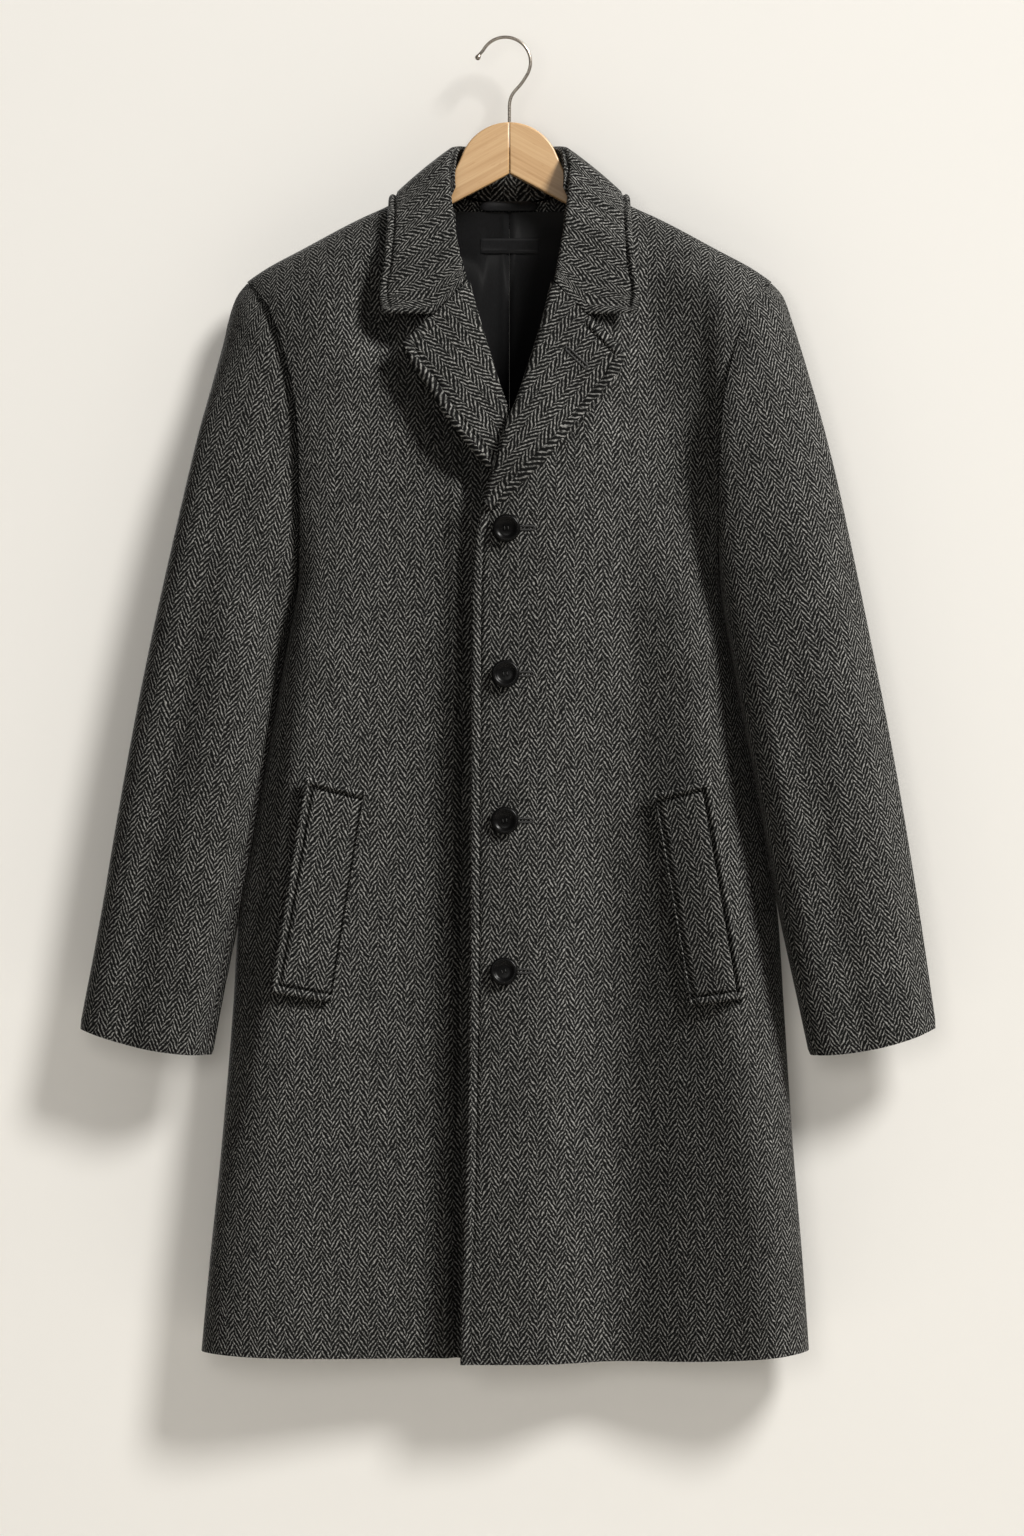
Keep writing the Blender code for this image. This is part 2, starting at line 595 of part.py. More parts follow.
def arm_outline():
    """Outline of the wearer's left arm from the joint line outwards and back, as distance and down."""
    points = [(GAP / 2, HEAD_TOP)]
    centre_down = HEAD_TOP + HEAD_RADIUS
    for k in range(1, 9):
        x = HEAD_EDGE * k / 8
        points.append((x, centre_down - math.sqrt(HEAD_RADIUS ** 2 - x * x)))
    points.append((NECK_EDGE, arm_top(NECK_EDGE)))
    for x in (72, 90, 110, 132, 158, 186, 205):
        points.append((x, arm_top(x)))
    top = arm_top(ARM_END)
    low = top + ARM_HEIGHT[-1][1]
    radius = (low - top) / 2
    for k in range(7):
        angle = math.pi / 2 * (1 - k / 3)
        points.append((ARM_END - radius + radius * math.cos(angle), (top + low) / 2 - radius * math.sin(angle)))
    for x in (186, 158, 132, 110, 90, 72):
        points.append((x, arm_top(x) + follow(ARM_HEIGHT, 1, x)))
    points.append((NECK_EDGE, UNDER_END))
    points.append((GAP / 2, UNDER_PEAK))
    return points


def make_hanger():
    for side, wearer in ((1, "left"), (-1, "right")):
        curve = bpy.data.curves.new(f"hanger_arm_{wearer}", "CURVE")
        curve.dimensions = "2D"
        curve.fill_mode = "BOTH"
        curve.extrude = (ARM_THICK / 2 - ARM_ROUND) * MM
        curve.bevel_depth = ARM_ROUND * MM
        curve.bevel_resolution = 1
        curve.offset = -ARM_ROUND * MM
        outline = arm_outline()
        spline = curve.splines.new("POLY")
        spline.points.add(len(outline) - 1)
        spline.use_cyclic_u = True
        for point, (x, down) in zip(spline.points, outline):
            point.co = (side * x * MM, -down * MM, 0, 1)
        made = place(bpy.data.objects.new(curve.name, curve), curve.name, wood)
        made.rotation_euler = (math.pi / 2, 0, 0)


WIRE = 3.0
HOOK_RADIUS = 22.6          # to the wire's centre
HOOK_CENTRE_DOWN = 21.1     # so that the arc's inside is the seat
HOOK_CENTRE_X = -3.6        # from the coat's centre line
HOOK_START = 160.0          # degrees, where the arc begins beside the tip
HOOK_END = -32.0


def make_hook():
    """Tip, arc over the nail, return curve and stem, as one wire whose last points swell to a ball."""
    centre_at = Vector((HOOK_CENTRE_X, 0, -HOOK_CENTRE_DOWN))
    route = [Vector((-29.2, 0, -18.2)), Vector((-28.3, 0, -16.6)), Vector((-27.2, 0, -14.9)),
             Vector((-25.8, 0, -12.9))]
    sizes = [0.9, 1.7, 1.6, 1.0]
    for k in range(25):
        angle = math.radians(HOOK_START - 8 + (HOOK_END - HOOK_START + 8) * k / 24)
        route.append(centre_at + Vector((math.cos(angle), 0, math.sin(angle))) * HOOK_RADIUS)
        sizes.append(1.0)
    for x, down in ((10.6, 41.0), (6.5, 45.5), (3.2, 49.4), (1.1, 53.0), (0.25, 57.0), (0, 61.5), (0, 75.1)):
        route.append(Vector((x, 0, -down)))
        sizes.append(1.0)
    curve = bpy.data.curves.new("hanger_hook", "CURVE")
    curve.dimensions = "3D"
    curve.bevel_depth = WIRE / 2 * MM
    curve.bevel_resolution = 2
    curve.use_fill_caps = True
    spline = curve.splines.new("POLY")
    spline.points.add(len(route) - 1)
    for point, at, size in zip(spline.points, route, sizes):
        point.co = (*(at * MM), 1)
        point.radius = size
    place(bpy.data.objects.new("hanger_hook", curve), "hanger_hook", steel)


# ---- Build -------------------------------------------------------------------------------------------------
for old in list(bpy.data.objects):
    bpy.data.objects.remove(old)

parts = bpy.data.collections.new("Overcoat on hanger")
cutters = bpy.data.collections.new("Cutters")
bpy.context.scene.collection.children.link(parts)
bpy.context.scene.collection.children.link(cutters)
centre = bpy.data.objects.new("coat_centre", None)
centre.location = (CENTRE_X * MM, 0, 0)
parts.objects.link(centre)

wool = material("Herringbone wool", "4b4946", 0.95)
lining = material("Lining satin", "201f21", 0.45)
satin = material("Loop and label satin", "19191b", 0.4)
horn = material("Button", "161615", 0.25)
wood = material("Hanger beech", "d6ae80", 0.5)
steel = material("Hook wire", "8d867c", 0.3, 1.0)

make_body()
make_sleeves()
make_collar()
make_lapels()
make_welts()
make_lining()
make_trim()
make_buttons()
make_hanger()
make_hook()
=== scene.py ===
"""Looks of a single-breasted herringbone overcoat hanging on a wooden coat hanger.

Tables are in millimetres from the coat's centre line, and "down" is millimetres below the hook seat.
The wearer's left is +X, and the front of the coat faces -Y.
"""
import math
from bisect import bisect_right

import bmesh
import bpy
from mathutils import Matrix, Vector


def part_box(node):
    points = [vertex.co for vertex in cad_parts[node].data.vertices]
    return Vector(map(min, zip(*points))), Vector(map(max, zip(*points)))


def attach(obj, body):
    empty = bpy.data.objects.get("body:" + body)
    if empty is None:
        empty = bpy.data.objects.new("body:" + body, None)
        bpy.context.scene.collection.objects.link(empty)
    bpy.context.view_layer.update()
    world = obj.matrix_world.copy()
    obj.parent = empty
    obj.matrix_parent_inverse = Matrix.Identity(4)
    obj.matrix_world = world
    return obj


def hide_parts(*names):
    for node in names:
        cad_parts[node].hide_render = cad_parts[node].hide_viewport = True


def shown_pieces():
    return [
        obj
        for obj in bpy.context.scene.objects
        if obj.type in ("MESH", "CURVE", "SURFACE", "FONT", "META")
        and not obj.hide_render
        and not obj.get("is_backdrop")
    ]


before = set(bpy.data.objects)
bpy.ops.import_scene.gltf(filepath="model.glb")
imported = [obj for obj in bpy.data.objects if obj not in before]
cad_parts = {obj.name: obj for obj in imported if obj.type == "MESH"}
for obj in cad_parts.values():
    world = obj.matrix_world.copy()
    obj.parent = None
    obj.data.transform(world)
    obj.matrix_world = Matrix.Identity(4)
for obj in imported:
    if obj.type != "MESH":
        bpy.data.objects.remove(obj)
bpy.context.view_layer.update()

# ---- Hook --------------------------------------------------------------------------------------------------
# Bent from 3 mm nickel-plated steel wire: a round arc that hangs on the nail, a return curve into a straight
# stem, and a tip that is pressed to a small ball so that it doesn't snag cloth.
MM = 0.001
CENTRE_X = (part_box("hanger_arm_left")[0][0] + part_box("hanger_arm_right")[1][0]) / 2 / MM
HOOK_WIRE = 3.0
HOOK_RADIUS = 22.6
HOOK_X = -CENTRE_X
HOOK_DOWN = 21.1
STEM_END = 75.6
ARC_START = 152         # degrees from the wearer's left where the round arc starts, by its tip
ARC_SPAN = 184          # how far it runs round over the top
# X, down, thickness against the wire's
HOOK_TIP = ((-29.6, 18.9, 0.5), (-29.25, 18.3, 1.35), (-28.7, 17.3, 1.75), (-28.0, 16.1, 1.7),
            (-27.3, 15.0, 1.3), (-26.6, 13.9, 1.0))
# X, down
HOOK_NECK = ((12.3, 38.3), (10.0, 41.4), (7.6, 44.1), (5.4, 46.5), (3.6, 48.8), (2.1, 51.3), (1.0, 54.0),
             (0.35, 57.0), (0, 61.0), (0, STEM_END))


def srgb(hex_colour):
    """Linear RGBA from a six-digit sRGB colour."""
    channels = [int(hex_colour[i:i + 2], 16) / 255 for i in (0, 2, 4)]
    return [c / 12.92 if c <= 0.04045 else ((c + 0.055) / 1.055) ** 2.4 for c in channels] + [1.0]


def node(tree, kind, inputs=(), into=None, stops=(), **settings):
    """Add a node with its settings, colour stops and links; a node as an input links its first output."""
    made = tree.nodes.new(f"ShaderNode{kind}")
    for name, value in settings.items():
        setattr(made, name, value)
    for key, value in dict(inputs).items():
        if isinstance(value, bpy.types.Node):
            value = value.outputs[0]
        if isinstance(value, bpy.types.NodeSocket):
            tree.links.new(value, made.inputs[key])
        else:
            made.inputs[key].default_value = value
    for _ in stops[2:]:
        made.color_ramp.elements.new(1.0)
    for k, (position, colour) in enumerate(stops):
        made.color_ramp.elements[k].position = position
        made.color_ramp.elements[k].color = srgb(colour)
    if into:
        tree.links.new(made.outputs[0], into)
    return made


def new_material(name, values):
    """Material with its shader's even values set: it, its tree, its shader and its object coordinates."""
    made = bpy.data.materials.new(name)
    made.use_nodes = True
    tree = made.node_tree
    shader = tree.nodes["Principled BSDF"]
    for key, value in values.items():
        shader.inputs[key].default_value = value
    place = tree.nodes.new("ShaderNodeTexCoord").outputs["Object"]
    return made, tree, shader, place


def add_piece(name, data, finish, nodes):
    """Object on the coat's centre line that rides on the one body and stands for its CAD nodes."""
    piece = bpy.data.objects.new(name, data)
    bpy.context.scene.collection.objects.link(piece)
    piece.location.x = CENTRE_X * MM
    piece.data.materials.append(finish)
    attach(piece, "root")
    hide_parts(*nodes)
    return piece


def new_curve(name, thickness, roundness=2):
    """Empty round wire or thread, of a thickness in millimetres."""
    curve = bpy.data.curves.new(name, "CURVE")
    curve.dimensions = "3D"
    curve.bevel_depth = thickness / 2 * MM
    curve.bevel_resolution = roundness
    curve.use_fill_caps = True
    return curve


def add_line(curve, points, closed=False):
    """Line of a curve through points in millimetres, each with its thickness against the curve's."""
    line = curve.splines.new("POLY")
    line.points.add(len(points) - 1)
    line.use_cyclic_u = closed
    for at, (x, y, z, size) in zip(line.points, points):
        at.co = (x * MM, y * MM, z * MM, 1)
        at.radius = size


def hook_steel():
    """Nickel-plated wire, slightly warm, with drawing lines about 1 mm apart along it."""
    made, tree, shader, place = new_material("nickel_plated_wire", {"Base Color": srgb("9c948a"),
                                                                    "Metallic": 1.0})
    lines = node(tree, "TexNoise", {"Vector": place, "Scale": 900.0, "Detail": 3.0})
    node(tree, "MapRange", {"Value": lines, "To Min": 0.2, "To Max": 0.36}, shader.inputs["Roughness"])
    return made


def make_hook():
    route = [(x, 0, -down, size) for x, down, size in HOOK_TIP]
    for k in range(61):
        angle = math.radians(ARC_START - ARC_SPAN * k / 60)
        x, up = HOOK_RADIUS * math.cos(angle), HOOK_RADIUS * math.sin(angle)
        route.append((HOOK_X + x, 0, up - HOOK_DOWN, 1))
    curve = new_curve("hook_wire", HOOK_WIRE, 6)
    add_line(curve, route + [(x, 0, -down, 1) for x, down in HOOK_NECK])
    add_piece("hook_wire", curve, hook_steel(), ["hanger_hook"])


make_hook()

# ---- Hanger arms -------------------------------------------------------------------------------------------
# Two arms cut from 12 mm beech, glued in the middle with a visible joint line, their edges rounded over and
# finished with a clear matt lacquer. The grain runs down each arm, mirrored at the joint.
SIDES = ((1, "left"), (-1, "right"))            # the wearer's
HEAD_TOP = 75.5
HEAD_RADIUS = 45.6      # of the hanger's round head
HEAD_EDGE = 42.5
NECK_EDGE = 50.8
UNDER_PEAK = 121.5
UNDER_END = 148.5
ARM_CLEAR = 4.9         # the wood lies this far under the shoulder line at the neck
ARM_SINK = 1.9          # and this much further at its end
ARM_END = 216.0
ARM_THICK = 12.0
ARM_ROUND = 1.6
ARM_TIP = 12.0          # length of the rounded end
JOINT_GAP = 0.15
WOOD_GRAIN = math.radians(29)   # the grain's lean along each arm
# Distance from the centre line, down
SHOULDER_LINE = ((0, 99), (50, 117), (72, 128.5), (110, 151), (132, 161), (186, 189.5), (224, 210.5),
                 (236, 219), (250, 231))
# Distance from the centre line, height
ARM_HEIGHT = ((50, 30), (110, 28), (216, 20))


def through(rows, column=1):
    """Smooth curve through one column of a table, as a function of its first column."""
    keys = [row[0] for row in rows]
    values = [row[column] for row in rows]
    last = len(keys) - 1
    slopes = []
    for i in range(last + 1):
        low, high = max(i - 1, 0), min(i + 1, last)
        if low == i or high == i:
            slopes.append((values[high] - values[low]) / (keys[high] - keys[low]))
            continue
        before, after = keys[i] - keys[low], keys[high] - keys[i]
        slope_in, slope_out = (values[i] - values[low]) / before, (values[high] - values[i]) / after
        slopes.append((slope_in * after + slope_out * before) / (before + after))

    def read(at):
        at = min(max(at, keys[0]), keys[-1])
        i = min(max(bisect_right(keys, at) - 1, 0), last - 1)
        step = keys[i + 1] - keys[i]
        t = (at - keys[i]) / step
        near = values[i] * (1 + 2 * t) * (1 - t) ** 2 + slopes[i] * step * t * (1 - t) ** 2
        return near + values[i + 1] * t * t * (3 - 2 * t) - slopes[i + 1] * step * t * t * (1 - t)

    return read


shoulder = through(SHOULDER_LINE)
arm_height = through(ARM_HEIGHT)


def beech(side):
    """Lacquered beech: pale grain bands 4 mm wide along the arm, 1 mm dark flecks and a soft clear coat."""
    made, tree, shader, place = new_material("lacquered_beech", {"Roughness": 0.42, "Coat Weight": 0.25,
                                                                 "Coat Roughness": 0.3})
    turned = node(tree, "Mapping", {"Vector": place, "Rotation": (0, 0, side * WOOD_GRAIN)})
    along = node(tree, "Mapping", {"Vector": turned, "Scale": (6, 260, 90)})
    bands = node(tree, "TexNoise", {"Vector": along, "Scale": 1.0, "Detail": 6.0, "Roughness": 0.6,
                                    "Distortion": 0.12})
    colour = node(tree, "ValToRGB", {"Fac": bands},
                  stops=((0.28, "9a774f"), (0.5, "ab8960"), (0.72, "b89971")))
    small = node(tree, "Mapping", {"Vector": turned, "Scale": (120, 900, 900)})
    flecks = node(tree, "TexNoise", {"Vector": small, "Scale": 1.0, "Detail": 2.0})
    spots = node(tree, "MapRange", {"Value": flecks, "From Min": 0.66, "From Max": 0.75, "To Max": 0.45})
    mixed = node(tree, "Mix", {0: spots, 6: colour, 7: srgb("8f6638")}, data_type="RGBA")
    tree.links.new(mixed.outputs[2], shader.inputs["Base Color"])
    node(tree, "Bump", {"Height": bands, "Strength": 0.12, "Distance": 0.0004}, shader.inputs["Normal"])
    return made


def arm_outline():
    """Outline of one arm from the joint line outwards and back, as distance and down."""
    def top(x):
        return shoulder(x) + ARM_CLEAR + ARM_SINK * x / ARM_END

    points = [(JOINT_GAP, HEAD_TOP)]
    for k in range(1, 25):
        x = HEAD_EDGE * math.sin(math.pi / 2 * k / 24)
        points.append((x, HEAD_TOP + HEAD_RADIUS - math.sqrt(HEAD_RADIUS ** 2 - x * x)))
    for k in range(31):
        x = NECK_EDGE + (ARM_END - ARM_TIP - NECK_EDGE) * k / 30
        points.append((x, top(x)))
    radius = arm_height(ARM_END) / 2
    for k in range(13):
        angle = math.pi / 2 * (1 - k / 6)
        x = ARM_END - radius + radius * math.cos(angle)
        points.append((x, top(ARM_END) + radius * (1 - math.sin(angle))))
    points += [(x, top(x) + arm_height(x)) for x in (190, 170, 150, 130, 110, 90, 72)]
    return points + [(NECK_EDGE, UNDER_END), (JOINT_GAP, UNDER_PEAK)]


def make_arms():
    for side, wearer in SIDES:
        curve = new_curve(f"hanger_wood_{wearer}", 2 * ARM_ROUND, 4)
        curve.dimensions = "2D"
        curve.fill_mode = "BOTH"
        curve.extrude = (ARM_THICK / 2 - ARM_ROUND) * MM
        curve.offset = -ARM_ROUND * MM
        add_line(curve, [(side * x, -down, 0, 1) for x, down in arm_outline()], True)
        piece = add_piece(curve.name, curve, beech(side), [f"hanger_arm_{wearer}"])
        piece.rotation_euler.x = math.pi / 2


make_arms()

# ---- Backs -------------------------------------------------------------------------------------------------
# Two mirror-cut back panels in 2.4 mm brushed herringbone wool, joined down a plain pressed centre seam. They
# hang from the shoulder seams, round over the hanger and fall in a few soft, shallow folds to the hem.
CLOTH = 2.4
HEM = 1188.0
ARMPIT = 488.0
SHOULDER_END = 220.0
SHOULDER_ROUND = 58.0   # height over which the shoulder rounds to its full depth
BACK_POWER = 2.3        # how square the back turns at the sides, 2 is an ellipse
# Down, how square the sides turn
FRONT_POWER = ((100, 2.3), (230, 3.0), (400, 4.0), (640, 4.6), (1190, 5.2))
NECK_POINT = 72.0
BACK_NECK = 146.0
ARMHOLE_BACK = 7.0      # the back armhole is this much further out at its middle
HEM_RISE = 11.0         # the hem is this much higher at the side seams
UNDER_HEM_RISE = 4.0    # the front that lies under hangs this much shorter
RISE_FROM = 1005.0      # down from which the side seams start to rise
SEAM_GAP = 0.3
SEAM_DIP = 0.8          # how deep the pressed centre seam lies
FOLD_DEPTH = 30.0       # where the body is thinner than this, the folds die away
ROUND_OVER = 0.8        # share of a rounding's depth by which the cloth over it is longer
HARD_EDGE = math.radians(50)
# Down, front, back
DEPTH = ((100, 28, 32), (160, 36, 40), (220, 45, 48), (350, 53, 56), (480, 54, 55), (700, 51, 51),
         (900, 53, 51), (1190, 58, 56))
# Down, half width on the wearer's left and right
BODY_WIDTH = ((100, 252, 252), (220, 243, 243), (350, 214, 213), (440, 196, 195), (488, 189.6, 189.2),
              (514, 193.6, 192.8), (541, 198.2, 198.2), (604, 210.4, 209.4), (673, 224.5, 222),
              (717, 232.5, 229.5), (783, 241, 242), (870, 247, 248), (1005, 255.5, 259), (1087, 262, 267),
              (1190, 269, 276))
# Down, distance from the centre line
ARMHOLE = ((219, 237), (222, 233), (236, 220.5), (257, 210), (291, 199), (323, 192), (365, 188.3),
           (410, 187.3), (456, 187.2), (489, 189))
# Fraction of the armhole, down at the front edge and centre back
PANEL_TOP = ((0.0, 129, 146), (0.025, 129.6, 146.6), (0.08, 133, 149), (0.17, 141, 156), (0.27, 156, 169),
             (0.38, 184, 194), (0.5, 225, 232), (0.62, 280, 284), (0.74, 345, 347), (0.87, 420, 420),
             (1.0, 488, 488))
# Soft folds of the back: side, x and down where it starts, x and down where it ends, half width towards the
# centre and away from it, height
BACK_FOLDS = ((1, 60, 430, 88, 1205, 24, 34, -7.0), (1, 118, 640, 150, 1205, 26, 26, 5.0),
              (1, 196, 840, 222, 1205, 18, 24, -5.0), (1, 120, 250, 172, 440, 20, 26, -3.5),
              (-1, 44, 520, 66, 1205, 22, 26, -5.5), (-1, 112, 500, 130, 1205, 28, 34, 6.0),
              (-1, 176, 700, 202, 1205, 18, 24, -6.0), (-1, 128, 260, 170, 430, 18, 24, -3.0))


def by_side(table):
    """The table's columns for the wearer's left and right, as smooth curves."""
    return {1: through(table, 1), -1: through(table, 2)}


front_depth, back_depth = through(DEPTH, 1), through(DEPTH, 2)
front_power = through(FRONT_POWER)
half_widths = by_side(BODY_WIDTH)
armhole_x = through(ARMHOLE)


def ease(start, end, at):
    """0 before start, 1 past end, with soft ends; start may be the larger."""
    t = min(max((at - start) / (end - start), 0.0), 1.0)
    return t * t * (3 - 2 * t)


def hump(away, width):
    """Soft hump of height 1, by the distance from its middle."""
    return math.exp(-(away / width) ** 2)


def fold_height(folds, x, down):
    """Sum of soft ridges and troughs, each growing along its line; x is the distance from the centre line."""
    total = 0.0
    for _, start_x, start_down, end_x, end_down, inner_width, outer_width, height in folds:
        along = (down - start_down) / (end_down - start_down)
        if -0.15 < along < 1.15:
            away = x - start_x - (end_x - start_x) * along
            grow = ease(-0.1, 0.55, along) * (1.0 if end_down > HEM else ease(1.15, 0.7, along))
            total += height * grow * hump(away, outer_width if away > 0 else inner_width)
    return total


def section(x, down, side, back):
    """The body's full depth at a place, and the shares of it that its rounded side and shoulder leave."""
    depth = back_depth(down) if back else front_depth(down)
    across = min(abs(x) / half_widths[side](down), 1.0)
    rounding = min(max((down - shoulder(abs(x))) / SHOULDER_ROUND, 0.0), 1.0)
    power = BACK_POWER if back else front_power(down)
    return depth, (1 - across ** power) ** (1 / power), math.sqrt(1 - (1 - rounding) ** 2)


def body_depth(x, down, side, back):
    """How far the plain flattened body reaches from the shoulder plane, on its front or back."""
    depth, at_side, at_shoulder = section(x, down, side, back)
    return depth * at_side * at_shoulder


def grain(x, down, side, back):
    """Place on the cut cloth: across and along the weave, measured over the body's roundings."""
    depth, at_side, at_shoulder = section(x, down, side, back)
    turned = ROUND_OVER * depth * (1 - at_side)
    return x + math.copysign(turned, x), ROUND_OVER * depth * (1 - at_shoulder) - down


def armhole(turn, side):
    """Point of the armhole seam: turn 0 is the shoulder, 90 the front, 180 the armpit and 270 the back."""
    angle = math.radians(turn)
    down = (ARMPIT + SHOULDER_END) / 2 - (ARMPIT - SHOULDER_END) / 2 * math.cos(angle)
    reach = math.sin(angle)
    x = armhole_x(down) + ARMHOLE_BACK * max(-reach, 0.0)
    depth = body_depth(x, down, side, reach < 0) * ease(0, 0.25, abs(reach))
    return Vector((side * x, -math.copysign(depth, reach), -down))


def top_line(x, back):
    """Down of a panel's top edge: the shoulder seam, and on the back the neck seam's dip."""
    if back and x < NECK_POINT:
        neck_end = shoulder(NECK_POINT)
        return neck_end + (BACK_NECK - neck_end) * math.cos(math.pi / 2 * x / NECK_POINT) ** 0.8
    return shoulder(x)


def spread(count, ends):
    """Fractions from 0 to 1, closer together at both ends by the given amount."""
    return [(1 - ends) * k / count + ends * (1 - math.cos(math.pi * k / count)) / 2 for k in range(count + 1)]


def panel_rows(side, back, inner_edge, face, columns=64, rows=150):
    """Grid of a front or back panel with each point's place on the cut cloth, centre to side."""
    row_in = through(PANEL_TOP, 2 if back else 1)
    top_rows = int(rows * 0.42)
    ends = []
    for k in range(top_rows):
        fraction = (k / top_rows) ** 1.5
        outer = armhole(-180 * fraction if back else 180 * fraction, side)
        ends.append((abs(outer.x), -outer.z, row_in(fraction), ease(0.75, 0.3, fraction), abs(outer.y)))
    for share in spread(rows - top_rows, 0.75):
        down = ARMPIT + (HEM - ARMPIT) * share
        ends.append((half_widths[side](down), down, down, 0.0, 0.0))
    grid, cut = [], []
    shares = spread(columns, 0.9)
    for k, (outer_x, outer_down, inner_down, sloping, _) in enumerate(ends):
        inner_x = inner_edge(inner_down)
        outer_drop = outer_down - top_line(outer_x, back)
        inner_drop = inner_down - top_line(abs(inner_x), back)
        if k == 0:
            first_outer, first_inner = outer_drop, inner_drop
        outer_drop -= first_outer * ease(0.1, 0, k / rows)
        inner_drop -= first_inner * ease(0.1, 0, k / rows)
        points, places = [], []
        for share in shares:
            x = inner_x + (outer_x - inner_x) * share
            straight = inner_down + (outer_down - inner_down) * share
            drop = inner_drop + (outer_drop - inner_drop) * share
            down = sloping * (top_line(abs(x), back) + drop) + (1 - sloping) * straight
            across = min(abs(x) / half_widths[side](HEM), 1.0) ** 4
            rise = HEM_RISE * across + (UNDER_HEM_RISE * (1 - across) if side < 0 and not back else 0.0)
            places.append([mm * MM for mm in grain(x, down, side, back)])
            x, y, z = face(x, down)
            points.append((x, y, z + rise * ease(RISE_FROM, HEM, down)))
        grid.append(points)
        cut.append(places)
    return grid, cut


def add_cloth(solid, grid, cut, thickness, finish, flip=False, word="cloth"):
    """Piece for a CAD node: a grid of points, its cut places as a UV map, and its thickness inwards."""
    rows, columns = len(grid), len(grid[0])
    count = rows * columns
    points = [Vector(p) * MM for row in grid for p in row]
    places = [p for row in cut for p in row]
    quads = []
    for i in range(rows - 1):
        for j in range(columns - 1):
            a = i * columns + j
            quad = (a, a + columns, a + columns + 1, a + 1)
            quads.append(quad[::-1] if flip else quad)
    face = bpy.data.meshes.new("face")
    face.from_pydata(points, [], quads)
    normals = [normal.vector.copy() for normal in face.vertex_normals]
    bpy.data.meshes.remove(face)
    rim = list(range(columns)) + [i * columns + columns - 1 for i in range(1, rows)]
    rim += [count - 1 - j for j in range(1, columns)] + [i * columns for i in range(rows - 2, 0, -1)]
    sides = [(a, b, b + count, a + count) for a, b in zip(rim, rim[1:] + rim[:1])]
    sides = sides if flip else [quad[::-1] for quad in sides]
    backs = [tuple(v + count for v in quad[::-1]) for quad in quads]
    mesh = bpy.data.meshes.new(f"{solid}_{word}")
    inner = [p - n * thickness * MM for p, n in zip(points, normals)]
    mesh.from_pydata(points + inner, [], quads + backs + sides)
    layer = mesh.uv_layers.new(name="cut")
    for loop in mesh.loops:
        layer.data[loop.index].uv = places[loop.vertex_index % count]
    mesh.shade_smooth()
    mesh.set_sharp_from_angle(angle=HARD_EDGE)
    return add_piece(mesh.name, mesh, finish, [solid])


